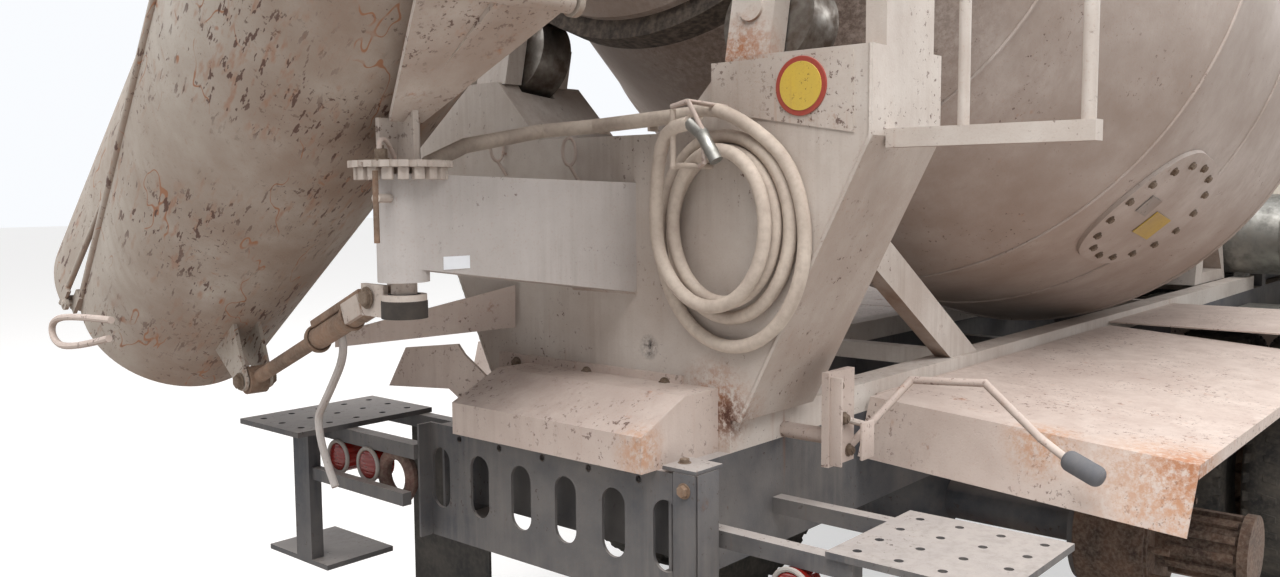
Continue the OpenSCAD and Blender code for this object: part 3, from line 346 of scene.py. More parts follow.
def copies(model, places):
    """Copies a model, each copy with its own mesh, to every given place or matrix, and removes the model."""
    made = []
    for place in places:
        twin = model.copy()
        twin.data = model.data.copy()
        twin.data.transform(place if isinstance(place, Matrix) else Matrix.Translation(place))
        bpy.context.collection.objects.link(twin)
        made.append(twin)
    bpy.data.objects.remove(model)
    return made


def finish_piece(piece, name, body, material, smooth=35.0):
    """Gives a finished piece its name, finish, shading and body."""
    piece.name = name
    piece.data.name = name
    set_place(piece)
    if smooth:
        bpy.ops.object.shade_smooth_by_angle(angle=math.radians(smooth))
    piece.data.materials.clear()
    piece.data.materials.append(material)
    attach(piece, body)
    return piece


SIDES = ((1, "left"), (-1, "right"))
print("sides of the truck:", [word for side, word in SIDES])

# %% [markdown]
# ## Old enamel
# The mixer is brushed-on alkyd enamel over mild steel, years old and never washed. To the eye it is a dull cream
# with grey-brown dust that lies thicker on tops, faint streaks down its sides where the rain has run, small pits
# in loose clusters, and rust blooms with a dark core. The same recipe in other colours serves the chassis black.

# %% Stains and scratches
DASH_STRETCH, LINE_STRETCH = 3.5, 2.2


def lay_stains_and_shade(material, place, shade, stains_and_shade):
    """Ragged spots, each with its middle, its reach and its colour: rust, a burn, and on the drum a painted shade.
    """
    for middle, reach, colour in stains_and_shade:
        gap = node(material, "ShaderNodeVectorMath", {0: place, 1: middle}, operation="DISTANCE").outputs["Value"]
        near = node(material, "ShaderNodeMapRange",
                    {"Value": gap, "From Min": reach, "From Max": reach * 0.2}).outputs["Result"]
        ragged = spots(material, place, 0.02, 0.40, 0.58, detail=8.0, roughness=0.75)
        shade = lay_over(material, shade, linear(colour), near, ragged)
    return shade


def scratched(material, place, shade, way, light, dark):
    """Short dashes and thin lines of rust, drawn out along the way that the concrete slides."""
    drawn, drawn_lines = [
        node(material, "ShaderNodeMapping", {"Vector": place, "Rotation": way, "Scale": (stretch, 1, 1)},
             vector_type="TEXTURE").outputs["Vector"] for stretch in (DASH_STRETCH, LINE_STRETCH)]
    dash = spots(material, drawn, 0.014, 0.600, 0.630, detail=3.0, roughness=0.6)
    halo = spots(material, drawn, 0.022, 0.56, 0.68, detail=3.0)
    area = spots(material, place, 0.28, 0.40, 0.56, detail=3.0)
    line = thin_lines(material, drawn_lines, 0.16, 0.0022)
    line_area = spots(material, place, 0.17, 0.50, 0.56, detail=3.0)
    shade = lay_over(material, shade, light, halo, area, 0.50)
    shade = lay_over(material, shade, light, line, line_area, 0.9)
    return lay_over(material, shade, dark, dash, area, 0.9)


print("dashes are drawn out", DASH_STRETCH, "times and lines", LINE_STRETCH, "times")

# %% [markdown]
# The main recipe lays one film over another, from the oldest to the newest: dust in broad clouds, settled dust on
# tops, a painted brown shade on faces that look down, streaks, grit, pits in their clusters, and the blooms last,
# because rust breaks through them all.

# %% Aged enamel
PIT_SIZE = 0.016
BLOOM_SIZE = 0.14
STREAK_WIDTH = 0.022
STREAK_LENGTH = 0.35
SETTLED_DUST = "#b9b0aa"
UNDERSIDE_PAINTED_SHADE = "#7d6250"
# Brown painted shade for faces that look down, standing in for the shadow under things.
DUST = "#a08f83"
RUST_LIGHT = "#a06a48"
RUST_DARK = "#4c2c20"
PALE_RUST = "#b58a6c"
SCORCH = "#2a2220"


# The under value sets how strong the painted brown shade is on faces that look down.
def aged_enamel(name, paint, wear, dust=DUST, rust_light=RUST_LIGHT, rust_dark=RUST_DARK, dust_share=0.6,
                roughness=0.62, settled=0.2, under=0.6, scratch=None, stains_and_shade=()):
    """Enamel with dust, streaks, pits, blooms, painted shade on its undersides, and scratches and spots where
    asked.
    """
    paint, dust, rust_light, rust_dark = [linear(value) for value in (paint, dust, rust_light, rust_dark)]
    material, shader = new_material(name, roughness)
    place = node(material, "ShaderNodeTexCoord").outputs["Object"]
    # A place divided by a stretch along Z draws the noise out into streaks that fall.
    falling = node(material, "ShaderNodeMapping", {"Vector": place, "Scale": (1, 1, STREAK_LENGTH / STREAK_WIDTH)},
                   vector_type="TEXTURE").outputs["Vector"]
    cloud = spots(material, place, 0.40, 0.34, 0.68)
    patch = spots(material, place, 0.08, 0.38, 0.72, detail=4.0)
    streak = spots(material, falling, STREAK_WIDTH, 0.44, 0.72, detail=3.0)
    streak_area = spots(material, place, 0.50, 0.42, 0.60, detail=2.0)
    cluster = spots(material, place, 0.22, 0.52 - 0.12 * wear, 0.66 - 0.06 * wear, detail=3.0)
    pit = spots(material, place, PIT_SIZE, 0.63 - 0.05 * wear, 0.67 - 0.05 * wear, detail=4.0, roughness=0.7)
    grit = spots(material, place, 0.005, 0.58, 0.74, detail=2.0)
    bloom = spots(material, place, BLOOM_SIZE, 0.70 - 0.09 * wear, 0.76 - 0.06 * wear, detail=10.0, roughness=0.72)
    run = spots(material, falling, 0.030, 0.66 - 0.05 * wear, 0.80, detail=3.0)
    upward = node(material, "ShaderNodeSeparateXYZ",
                  {0: node(material, "ShaderNodeNewGeometry").outputs["Normal"]}).outputs["Z"]
    resting = node(material, "ShaderNodeMapRange", {"Value": upward, "From Min": 0.3, "From Max": 0.9,
                                                    "To Min": 0.25, "To Max": 0.75}).outputs["Result"]
    shade = lay_over(material, paint, dust, cloud, dust_share)
    shade = lay_over(material, shade, dust, patch, resting)
    on_top = node(material, "ShaderNodeMapRange",
                  {"Value": upward, "From Min": 0.5, "From Max": 0.95, "To Max": settled}).outputs["Result"]
    shade = lay_over(material, shade, linear(SETTLED_DUST), on_top)
    # Painted shade: faces that look down turn brown in ragged patches, standing in for the shadow under things.
    painted_shade_below = node(material, "ShaderNodeMapRange",
                 {"Value": upward, "From Min": -0.15, "From Max": -0.75, "To Max": under}).outputs["Result"]
    shade_patches = spots(material, place, 0.25, 0.15, 0.60, detail=4.0)
    shade = lay_over(material, shade, linear(UNDERSIDE_PAINTED_SHADE), painted_shade_below, shade_patches)
    shade = lay_over(material, shade, dust, streak, streak_area, 0.42)
    shade = lay_over(material, shade, rust_light, run, cluster, 0.60)
    shade = lay_over(material, shade, rust_light, grit, 0.22)
    shade = lay_over(material, shade, rust_dark, pit, cluster, 0.85)
    core = spots(material, place, 0.02, 0.40, 0.62, detail=4.0)
    shade = lay_over(material, shade, lay_over(material, rust_light, rust_dark, core), bloom, 0.85)
    # Rust and burn marks, and on the drum a patch of painted shade.
    shade = lay_stains_and_shade(material, place, shade, stains_and_shade)
    if scratch:
        shade = scratched(material, place, shade, scratch, rust_light, rust_dark)
    link(material, shade, shader.inputs["Base Color"])
    rough = node(material, "ShaderNodeMapRange",
                 {"Value": bloom, "To Min": roughness, "To Max": 0.92}).outputs["Result"]
    link(material, rough, shader.inputs["Roughness"])
    relief = node(material, "ShaderNodeTexNoise", {"Vector": place, "Scale": 160.0, "Detail": 4.0})
    height = node(material, "ShaderNodeMath", {0: relief.outputs["Fac"], 1: pit}, operation="SUBTRACT")
    bump = node(material, "ShaderNodeBump", {"Height": height.outputs[0], "Strength": 0.22, "Distance": 0.002})
    link(material, bump.outputs["Normal"], shader.inputs["Normal"])
    return material


print("streaks are drawn out", round(STREAK_LENGTH / STREAK_WIDTH, 1), "times")

# %% [markdown]
# Each painted piece has its own history. The pedestal has rust at its foot and one burnt spot, the fender's
# corners rust through, the chute is scratched along its slope, and the cab is cleaner than the rest.

# %% Enamels of the truck
CHUTE_WAY = (0.0, math.radians(40), math.radians(86))
pedestal_stains = [(at(0.22, -0.360, 1.140), 0.13, RUST_LIGHT), (at(0.22, -0.395, 1.120), 0.07, RUST_DARK),
                   (at(0.22, -0.150, 1.262), 0.035, SCORCH), (at(0.22, -0.420, 1.960), 0.12, RUST_LIGHT)]
fender_stains = [(at(0.86, -1.230, 0.960), 0.26, PALE_RUST), (at(0.86, -0.900, 1.020), 0.12, PALE_RUST),
                 (at(-0.06, -0.360, 1.080), 0.09, PALE_RUST), (at(0.86, -1.260, 1.020), 0.13, RUST_LIGHT)]
# Painted shade: a dark brown patch on the drum's rear cone, by the ring, stands for the shadow that falls there.
painted_cone_shade = [(at(0.75, -0.25, 2.28), 0.60, "#4f3b30")]
# Each enamel's under value sets its painted brown shade on faces that look down.
cream_enamel = aged_enamel("cream alkyd enamel", "#cdc5bd", 0.35, under=0.95, stains_and_shade=pedestal_stains)
speckled_enamel = aged_enamel("speckled cream enamel", "#cbc1b8", 1.1)
rusty_enamel = aged_enamel("cream enamel rusting through", "#c9bab0", 0.8, dust="#a8948a", rust_light="#a9714d",
                           stains_and_shade=fender_stains)
chute_enamel = aged_enamel("grey chute enamel", "#bcb4aa", 0.6, dust="#8b7a6b", rust_light="#93603f", under=0.75,
                           scratch=CHUTE_WAY)
drum_enamel = aged_enamel("grey drum enamel", "#beb3ac", 0.15, dust="#95857a", dust_share=0.85, under=0.35,
                          stains_and_shade=painted_cone_shade)
arm_enamel = aged_enamel("clean grey enamel", "#c3bcb8", 0.05, dust="#9f9690", dust_share=0.5)
clean_enamel = aged_enamel("cream cab enamel", "#d2cabd", 0.05, dust="#bdb2a2", dust_share=0.4, roughness=0.45)
chassis_enamel = aged_enamel("black chassis enamel", "#33363d", 0.4, dust="#77716c", rust_light="#6b4a38",
                             rust_dark="#3b2820", dust_share=0.7, roughness=0.6, settled=0.62, under=0.2)
print("enamels:", sum(1 for material in bpy.data.materials if "enamel" in material.name))

# %% [markdown]
# ## Bare iron and steel
# The hub has lost all its paint and is brown with scale, and the drum's ring and the jack are rusty too. Only the
# rollers shine where they run. Rust scatters light like a dull plastic, so only the worn metal is metallic.

# %% Cast iron and worn steel
IRON_DUST = "#8d7f70"


def grained(material, shader, place, grain, detail, strength, distance):
    """Gives a surface the fine relief of its casting, scale or moulding."""
    relief = node(material, "ShaderNodeTexNoise", {"Vector": place, "Scale": 1 / grain, "Detail": detail})
    bump = node(material, "ShaderNodeBump",
                {"Height": relief.outputs["Fac"], "Strength": strength, "Distance": distance})
    link(material, bump.outputs["Normal"], shader.inputs["Normal"])


def rusted_iron(name, light, dark, grain=0.012):
    material, shader = new_material(name, 0.85)
    place = node(material, "ShaderNodeTexCoord").outputs["Object"]
    broad = spots(material, place, 0.09, 0.35, 0.66)
    fine = spots(material, place, grain, 0.40, 0.66)
    shade = lay_over(material, linear(light), linear(dark), broad)
    shade = lay_over(material, shade, linear(IRON_DUST), fine, 0.4)
    link(material, shade, shader.inputs["Base Color"])
    grained(material, shader, place, grain, 8.0, 0.5, 0.003)
    return material


def worn_steel(name, bright, dull):
    material, shader = new_material(name, 0.42, metallic=1.0)
    place = node(material, "ShaderNodeTexCoord").outputs["Object"]
    broad = spots(material, place, 0.06, 0.35, 0.65)
    link(material, lay_over(material, linear(bright), linear(dull), broad), shader.inputs["Base Color"])
    rough = node(material, "ShaderNodeMapRange", {"Value": broad, "To Min": 0.38, "To Max": 0.7})
    link(material, rough.outputs["Result"], shader.inputs["Roughness"])
    return material


# Castings and forgings with no paint left: dark, matt and rough with scale.
hub_iron = rusted_iron("rusted cast iron", "#644b3c", "#382821")
bolt_iron = rusted_iron("rusted bolt steel", "#7a6a5c", "#54402f", grain=0.006)
wheel_iron = rusted_iron("rusted wheel steel", "#7d6450", "#4f3b2e")
hook_iron = rusted_iron("red-brown forged steel", "#6d4b43", "#52413b")
track_iron = rusted_iron("scraped track iron", "#4a4039", "#2c2521", grain=0.02)
jack_steel = rusted_iron("rusty screw steel", "#8a6d59", "#5d4a3d", grain=0.008)
# Steel that something rubs or rolls on, or that is galvanised: metallic, with duller patches.
running_steel = worn_steel("steel worn by rolling", "#8d8983", "#5d5148")
plate_steel = worn_steel("galvanised steel", "#a7a59f", "#82807b")
print("metals:", hub_iron.name, bolt_iron.name, running_steel.name)

# %% [markdown]
# ## Rubber, plastic, glass and lamps
# Tyres and flaps are carbon-black rubber gone grey with dust, the hose is a tan wash-down hose, and the cab's
# trim is grained ABS. Lamp lenses are polycarbonate, which lets light in, so they keep some transmission.

# %% Rubber, plastic and glass
def dusty_rubber(name, base, dust, share, grain=0.004):
    material, shader = new_material(name, 0.85)
    base, dust = linear(base), linear(dust)
    place = node(material, "ShaderNodeTexCoord").outputs["Object"]
    film = spots(material, place, 0.12, 0.35, 0.70)
    fine = spots(material, place, 0.015, 0.45, 0.70)
    shade = lay_over(material, lay_over(material, base, dust, film, share), dust, fine, share * 0.4)
    link(material, shade, shader.inputs["Base Color"])
    grained(material, shader, place, grain, 2.0, 0.15, 0.001)
    return material


def clear_finish(name, colour, roughness, transmission, ior):
    """Glass or a clear plastic, which lets a share of the light through."""
    material, shader = new_material(name, roughness, ior=ior)
    shader.inputs["Base Color"].default_value = linear(colour)
    shader.inputs["Transmission Weight"].default_value = transmission
    return material, shader


def lamp_lens(name, colour, transmission):
    """A moulded lens with upright ribs on its face."""
    material, shader = clear_finish(name, colour, 0.18, transmission, 1.58)
    place = node(material, "ShaderNodeTexCoord").outputs["Object"]
    ribs = node(material, "ShaderNodeTexWave", {"Vector": place, "Scale": 30.0}, bands_direction="Z")
    bump = node(material, "ShaderNodeBump", {"Height": ribs.outputs["Fac"], "Strength": 0.3, "Distance": 0.002})
    link(material, bump.outputs["Normal"], shader.inputs["Normal"])
    return material


# Moulded black rubber: nearly black in its grooves and grey where the dust lies.
tyre_rubber = dusty_rubber("carbon black tyre rubber", "#2b2a29", "#6f675d", 0.6)
flap_rubber = dusty_rubber("flap rubber", "#272625", "#5d564e", 0.5)
# Extruded hose in light rubber, and grease that has caught the dust.
hose_rubber = dusty_rubber("tan hose rubber", "#c9bbad", "#a09084", 0.8, grain=0.006)
grease = dusty_rubber("old black grease", "#1b1918", "#4f463e", 0.5, grain=0.003)
# Moulded nylon and ABS, and woven cloth: even in colour, with a fine grain.
knob_plastic = dusty_rubber("grey nylon", "#5b5c61", "#7b7672", 0.4, grain=0.003)
seat_cloth = dusty_rubber("woven seat cloth", "#4a4c52", "#6d6a66", 0.5, grain=0.002)
trim_plastic = dusty_rubber("grained ABS", "#2a2b2d", "#4a4846", 0.3, grain=0.0015)
# Moulded polycarbonate and float glass: smooth and clear, so they need their own IOR.
red_lens = lamp_lens("red polycarbonate", "#8e2219", 0.35)
clear_lens = lamp_lens("clear polycarbonate", "#e9edee", 0.8)
window_glass = clear_finish("tinted safety glass", "#5f6f70", 0.05, 0.85, 1.52)[0]
mirror_glass, mirror_shader = new_material("silvered glass", 0.04, metallic=1.0)
mirror_shader.inputs["Base Color"].default_value = linear("#d7dadb")
print("finishes:", len(bpy.data.materials))

# %% [markdown]
# ## Finishes of the CAD pieces
# A CAD piece keeps its mesh and only takes a better material, so the finish of each is a short table of names.

# %% Finish the CAD pieces
def dress(names, material):
    for name in names.split():
        piece = nodes[name]
        piece.data.materials.clear()
        piece.data.materials.append(material)


dress("subframe rear_pedestal front_pedestal charge_hopper discharge_hopper side_ladder", cream_enamel)
dress("chute_yoke", speckled_enamel)
dress("control_lever", rusty_enamel)
dress("chute_arm", arm_enamel)
dress("drum_shell manhole_cover", drum_enamel)
dress("chute_main chute_extension", chute_enamel)
dress("fender_right fenders pedestal_cover", rusty_enamel)
dress("cab_shell door_left door_right bumper", clean_enamel)
dress("frame_rails rear_plate rear_steps front_axle drive_axles driveline knuckle_left knuckle_right tie_rod",
      chassis_enamel)
dress("hub_rear_right", hub_iron)
dress("drum_ring", track_iron)
dress("jack_rod jack_barrel", jack_steel)
dress("roller_left roller_right", running_steel)
dress("tanks hose_nozzle", plate_steel)
dress("wheel_front_left wheel_front_right wheels_mid_left wheels_mid_right wheels_rear_left", wheel_iron)
dress("tyre_front_left tyre_front_right tyres_mid_left tyres_mid_right tyres_rear_left", tyre_rubber)
dress("mudflaps", flap_rubber)
dress("hose_coil water_pipe", hose_rubber)
dress("cab_interior mirrors", trim_plastic)
dress("cab_glass door_glass_left door_glass_right", window_glass)
dress("lamps", red_lens)
hose.data.materials.append(hose_rubber)
print("every CAD piece has a finish:", all(piece.data.materials for piece in nodes.values()))

# %% [markdown]
# ## Tyres
# A drive tyre's tread is two rows of shoulder lugs with two rows of blocks between. One block of each kind is
# modelled from a cube, bevelled, and copied round the tyre, and the whole band is joined into one piece for each
# wheel.

# %% One tread block
TYRE_RADIUS = 0.520
TYRE_WIDTH = 0.280
BLOCK_COUNT = 44
TREAD_RISE = 0.002


def block_model(length, width, depth, slant):
    """One tread block at the top of a tyre whose axle lies along Y, with its top edges softened."""
    start_clean()
    bpy.ops.mesh.primitive_cube_add(size=1)
    block = bpy.context.object
    block.scale = (length, width, depth)
    set_place(block)
    pick_faces(block, lambda face: face.normal.z > 0.9)
    bpy.ops.mesh.bevel(offset=0.004, segments=1, affect="EDGES")
    leave_edit()
    for corner in block.data.vertices:
        corner.co.x += slant * corner.co.y / width
    return block


def ring_of(radius, side, count, turn=0.0):
    """Matrices that stand a model all round a wheel, at a radius and to one side of its middle."""
    stand = Matrix.Translation((0, side, radius))
    return [Matrix.Rotation(2 * math.pi * index / count + turn, 4, "Y") @ stand for index in range(count)]


print("tread blocks round a tyre:", BLOCK_COUNT)

# %% [markdown]
# The rim is a dished steel disc with round hand holes. The solids hold its form, so here only the parts that catch
# the eye are added: the treads, two raised beads on each sidewall, and the ten nuts with their washers.

# %% One wheel's dressing
STUD_CIRCLE = 0.1675
STUD_COUNT = 10
NUT_WIDTH = 0.032


def ring_band(radius, thick, wide=1.0, side=0.0):
    """A soft-edged ring round an axle along Y, drawn as a thin torus that can be widened."""
    start_clean()
    bpy.ops.mesh.primitive_torus_add(major_radius=radius, minor_radius=thick, major_segments=72,
                                     minor_segments=8, rotation=(math.pi / 2, 0, 0))
    band = bpy.context.object
    set_place(band)
    for corner in band.data.vertices:
        corner.co.y = corner.co.y * wide + side
    return band


def facing_ring(radius, thick, place, wide=1.0):
    """The same ring at a place, turned to face along the truck."""
    ring = ring_band(radius, thick, wide)
    ring.data.transform(Matrix.Translation(place) @ Matrix.Rotation(math.pi / 2, 4, "Z"))
    return ring


def hex_nut(radius, height, bolt_end=False):
    """A hexagon along Z with a chamfered top and a washer, and the bolt's end standing out of it if asked."""
    start_clean()
    bpy.ops.mesh.primitive_cylinder_add(vertices=6, radius=radius, depth=height)
    nut = bpy.context.object
    pick_faces(nut, lambda face: face.normal.z > 0.9)
    bpy.ops.mesh.bevel(offset=radius * 0.12, segments=1, affect="EDGES")
    leave_edit()
    pieces = [nut]
    bpy.ops.mesh.primitive_cylinder_add(vertices=16, radius=radius * 1.28, depth=height * 0.25,
                                        location=(0, 0, -height / 2))
    pieces.append(bpy.context.object)
    if bolt_end:
        bpy.ops.mesh.primitive_cylinder_add(vertices=12, radius=radius * 0.5, depth=height * 0.8,
                                            location=(0, 0, height * 0.4))
        pieces.append(bpy.context.object)
    return joined(pieces, "nut")


def wheel_dressing(name, hub_place, tyres, outward, disc_face):
    """Treads for each tyre of a wheel, sidewall beads, and the nuts on its outer disc."""
    tread = []
    for tyre_side in tyres:
        for row, slant, length in ((-0.098, 0.012, 0.040), (-0.036, -0.010, 0.030), (0.036, 0.010, 0.030),
                                   (0.098, -0.012, 0.040)):
            shoulder = abs(row) > 0.09
            block = block_model(length, 0.062 if shoulder else 0.054, 0.022, slant)
            radius = TYRE_RADIUS - 0.011 + TREAD_RISE - (0.006 if shoulder else 0.0)
            turn = 0.0 if row < 0 else math.pi / BLOCK_COUNT
            tread += copies(block, ring_of(radius, tyre_side + row, BLOCK_COUNT, turn))
        for face in (-1, 1):
            side = tyre_side + face * (TYRE_WIDTH / 2 - 0.004)
            tread += [ring_band(0.470, 0.005, side=side), ring_band(0.345, 0.006, side=side - face * 0.006)]
    band = joined(tread, name + "_tread")
    band.location = hub_place
    finish_piece(band, name + "_tread", name, tyre_rubber, smooth=30)
    nut = hex_nut(NUT_WIDTH / 2, 0.024, bolt_end=True)
    nut.rotation_euler = (-outward * math.pi / 2, 0, 0)
    set_place(nut)
    angles = [2 * math.pi * index / STUD_COUNT for index in range(STUD_COUNT)]
    places = [Vector((math.cos(a) * STUD_CIRCLE, disc_face, math.sin(a) * STUD_CIRCLE)) for a in angles]
    nuts = joined(copies(nut, places), name + "_nuts")
    nuts.location = hub_place
    finish_piece(nuts, name + "_nuts", name, bolt_iron, smooth=30)


HALF_TWIN = 0.1675
for label, x, side, twin in (("front_left", 6.54, 1, False), ("front_right", 6.54, -1, False),
                             ("mid_left", 3.24, 1, True), ("mid_right", 3.24, -1, True),
                             ("rear_left", 1.89, 1, True)):
    owner = ("wheels_" if twin else "wheel_front_") + label.replace("front_", "")
    if twin:
        middle, tyres, face = 0.935, (-HALF_TWIN, HALF_TWIN), 0.012
    else:
        middle, tyres, face = 1.020, (0.0,), HALF_TWIN + 0.012
    wheel_dressing(owner, at(x, side * middle, WHEEL_HEIGHT), tyres, side, side * face)

# %% [markdown]
# ## Bolts and welds at the pedestal
# The sloped cover hangs from a strip with three bolts, and the pedestal's plates are welded along their edges. A
# bolt is a chamfered hexagon on a washer, and a weld is a thin bead with a ripple, so both are modelled once and
# repeated.

# %% Bolts of the sloped cover
def soft_plate(low, high, edge):
    """A plate from one corner to the other, with all its edges softened."""
    start_clean()
    low, high = Vector(low), Vector(high)
    bpy.ops.mesh.primitive_cube_add(size=1, location=(low + high) / 2)
    plate = bpy.context.object
    plate.scale = high - low
    set_place(plate)
    pick_faces(plate, lambda face: True)
    bpy.ops.mesh.bevel(offset=edge, segments=2, affect="EDGES")
    leave_edit()
    return plate


def turned_to(piece, direction):
    """Turns a piece that was built along Z to a new direction."""
    piece.rotation_euler = Vector(direction).to_track_quat("Z", "Y").to_euler()
    set_place(piece)
    return piece


def fasten(nut, places, name, body, material=bolt_iron):
    """Puts a nut or bolt at each place and finishes them as one piece."""
    return finish_piece(joined(copies(nut, places), name), name, body, material)


REARWARD = (-1, 0, 0)
COVER_BOLTS = (-0.211, 0.054, 0.323)
fasten(turned_to(hex_nut(0.013, 0.012), REARWARD), [at(0.201, y, 1.178) for y in COVER_BOLTS], "cover_bolts",
       "chassis")
print("bolts on the cover's strip:", len(COVER_BOLTS))

# %% [markdown]
# A weld is a row of small puddles. A curve through points about one and a half radii apart, with every second point
# a little thinner, gives that ripple with few faces.

# %% Weld beads along the pedestal's plates
BEAD = 0.007


def weld(points, name):
    """A weld bead through a few places, with the ripple of its puddles."""
    length = sum((b - a).length for a, b in zip(points, points[1:]))
    steps = max(4, int(length / (BEAD * 1.6)))
    puddles = []
    for index in range(steps + 1):
        done = length * index / steps
        for start, stop in zip(points, points[1:]):
            part = (stop - start).length
            if done <= part + 1e-9:
                place = start.lerp(stop, done / part)
                break
            done -= part
        puddles.append(place)
    bead = curve_through(puddles, BEAD, name, roundness=1)
    for index, spot in enumerate(bead.data.splines[0].points):
        spot.radius = 0.85 if index % 2 else 1.0
    make_active(bead)
    bpy.ops.object.convert(target="MESH")
    return finish_piece(bpy.context.object, name, "chassis", cream_enamel)


PEDESTAL_HALF, FOOT_HALF = 0.765, 0.430
FLARE_HEIGHT, SEAT_HEIGHT, FOOT_HEIGHT = 1.765, 1.955, 1.110
for side, word in SIDES:
    foot, flare = side * (FOOT_HALF - 0.004), side * (PEDESTAL_HALF - 0.004)
    weld([at(0.222, foot, FOOT_HEIGHT), at(0.222, flare, FLARE_HEIGHT), at(0.222, flare, SEAT_HEIGHT)],
         "flare_weld_" + word)
weld([at(0.219, -0.110, 1.398), at(0.219, 0.110, 1.398)], "arm_weld_low")
print("weld bead across:", 2 * BEAD)

# %% [markdown]
# ## Sign and label
# A round sign hangs on a patch plate at the pedestal's right. It is blank: one disc in red enamel makes the
# border, and a smaller one in yellow lies on it.

# %% Blank sign
SIGN_RADIUS = 0.065
SIGN_PLACE = at(0.2150, -0.594, 1.877)
yellow_enamel = aged_enamel("yellow sign enamel", "#d8b53a", 0.2, dust="#b59c55")
red_enamel = aged_enamel("red sign enamel", "#a8352a", 0.2, dust="#8a4a3c")


def flat_piece(corners, thick):
    """A flat plate with four corners, given its thickness evenly to both sides."""
    start_clean()
    bpy.ops.mesh.primitive_plane_add(size=1)
    plate = bpy.context.object
    for vertex, corner in zip(plate.data.vertices, (corners[0], corners[1], corners[3], corners[2])):
        vertex.co = corner
    apply_modifier(plate, "SOLIDIFY", thickness=thick, offset=0.0)
    return plate


patch = flat_piece([at(0.2185, -0.348, 1.945), at(0.2185, -0.721, 1.945), at(0.2185, -0.724, 1.772),
                    at(0.2185, -0.348, 1.834)], 0.004)
finish_piece(patch, "sign_patch", "chassis", speckled_enamel, smooth=0)


def disc(radius, thick, place, direction):
    """A thin disc facing a direction, with a softened rim."""
    start_clean()
    bpy.ops.mesh.primitive_cylinder_add(vertices=64, radius=radius, depth=thick)
    plate = bpy.context.object
    pick_faces(plate, lambda face: face.normal.z > 0.9)
    bpy.ops.mesh.bevel(offset=thick * 0.3, segments=1, affect="EDGES")
    leave_edit()
    turned_to(plate, direction).location = place
    return plate


sign_rim = disc(SIGN_RADIUS, 0.004, SIGN_PLACE, REARWARD)
sign_face = disc(SIGN_RADIUS * 0.82, 0.002, SIGN_PLACE - Vector((0.0025, 0, 0)), REARWARD)
finish_piece(sign_rim, "round_sign_border", "chassis", red_enamel)
finish_piece(sign_face, "round_sign_face", "chassis", yellow_enamel)
print("sign across:", 2 * SIGN_RADIUS)

# %% [markdown]
# The hose hangs on a bent rod and the water line runs through wire loops welded to the pedestal. A bar is drawn
# once as a path and given its round section, like bending it over a vice.

# %% Hose hook and wire loops
def bent_bar(points, radius, name, body, material, soft=False):
    """A round bar bent through a few places, with sharp bends or, if asked, one soft curve."""
    make_active(curve_through(points, radius, name, kind="NURBS" if soft else "POLY"))
    bpy.ops.object.convert(target="MESH")
    return finish_piece(bpy.context.object, name, body, material)


HOOK_FRONT = 0.074
hook_bends = [at(0.219, -0.392, 1.842), at(HOOK_FRONT, -0.392, 1.848), at(HOOK_FRONT - 0.004, -0.437, 1.780),
              at(HOOK_FRONT, -0.437, 1.712), at(HOOK_FRONT + 0.012, -0.415, 1.704)]
bent_bar(hook_bends, 0.006, "hose_hook_right", "chassis", rusty_enamel)
bent_bar([at(HOOK_FRONT, -0.345, 1.838), hook_bends[1]], 0.006, "hose_hook_top", "chassis", rusty_enamel)
for index, (y, z) in enumerate(((0.092, 1.754), (0.370, 1.772))):
    loop_points = [at(0.190 - 0.024 * math.sin(a), y, z + 0.036 * math.cos(a))
                   for a in [2 * math.pi * k / 16 for k in range(17)]]
    bent_bar(loop_points, 0.0045, "pipe_loop_" + "ab"[index], "chassis", rusty_enamel)
    bent_bar([at(0.189, y, z - 0.034), at(0.219, y - 0.004, z - 0.075)], 0.0045, "pipe_loop_leg_" + "ab"[index],
             "chassis", rusty_enamel)
print("hook stands out:", round(PEDESTAL_REAR - HOOK_FRONT, 3))

# %% [markdown]
# ## Swivel of the chute
# The post carries a notched disc with small blocks under its rim, held by a lock pin. Below it a greasy clevis
# holds the screw jack's foot. Places are measured out from the post, with the chute's own direction first.

# %% The post's frame, and the swivel's small parts
POST = at(-0.410, 0.0, 0.0)
CHUTE_YAW = math.radians(86)
BLOCK_HEIGHT, BLOCK_CIRCLE = 1.691, 0.090


def from_post(along, across, height):
    """A place in the chute's frame: along the chute from the post, across it, and above the ground."""
    turned = Matrix.Rotation(CHUTE_YAW, 3, "Z") @ Vector((along, across, 0))
    return POST + turned + Vector((0, 0, height))


block = soft_plate((-0.008, -0.011, -0.013), (0.008, 0.011, 0.013), 0.002)
block_out = Matrix.Translation(POST + Vector((0, 0, BLOCK_HEIGHT)))
block_places = [block_out @ Matrix.Rotation(CHUTE_YAW + math.radians(10 + 20 * index), 4, "Z")
                @ Matrix.Translation((BLOCK_CIRCLE, 0, 0)) for index in range(18)]
finish_piece(joined(copies(block, block_places), "swivel_blocks"), "swivel_blocks", "chute_swivel", speckled_enamel)

PIN_TURN = CHUTE_YAW + math.radians(120)
pin_side = Vector((math.cos(PIN_TURN), math.sin(PIN_TURN), 0))


def at_pin(out, height, forward=0.0):
    """A place out from the post on the lock pin's side."""
    return POST + pin_side * out + Vector((forward, 0, height))


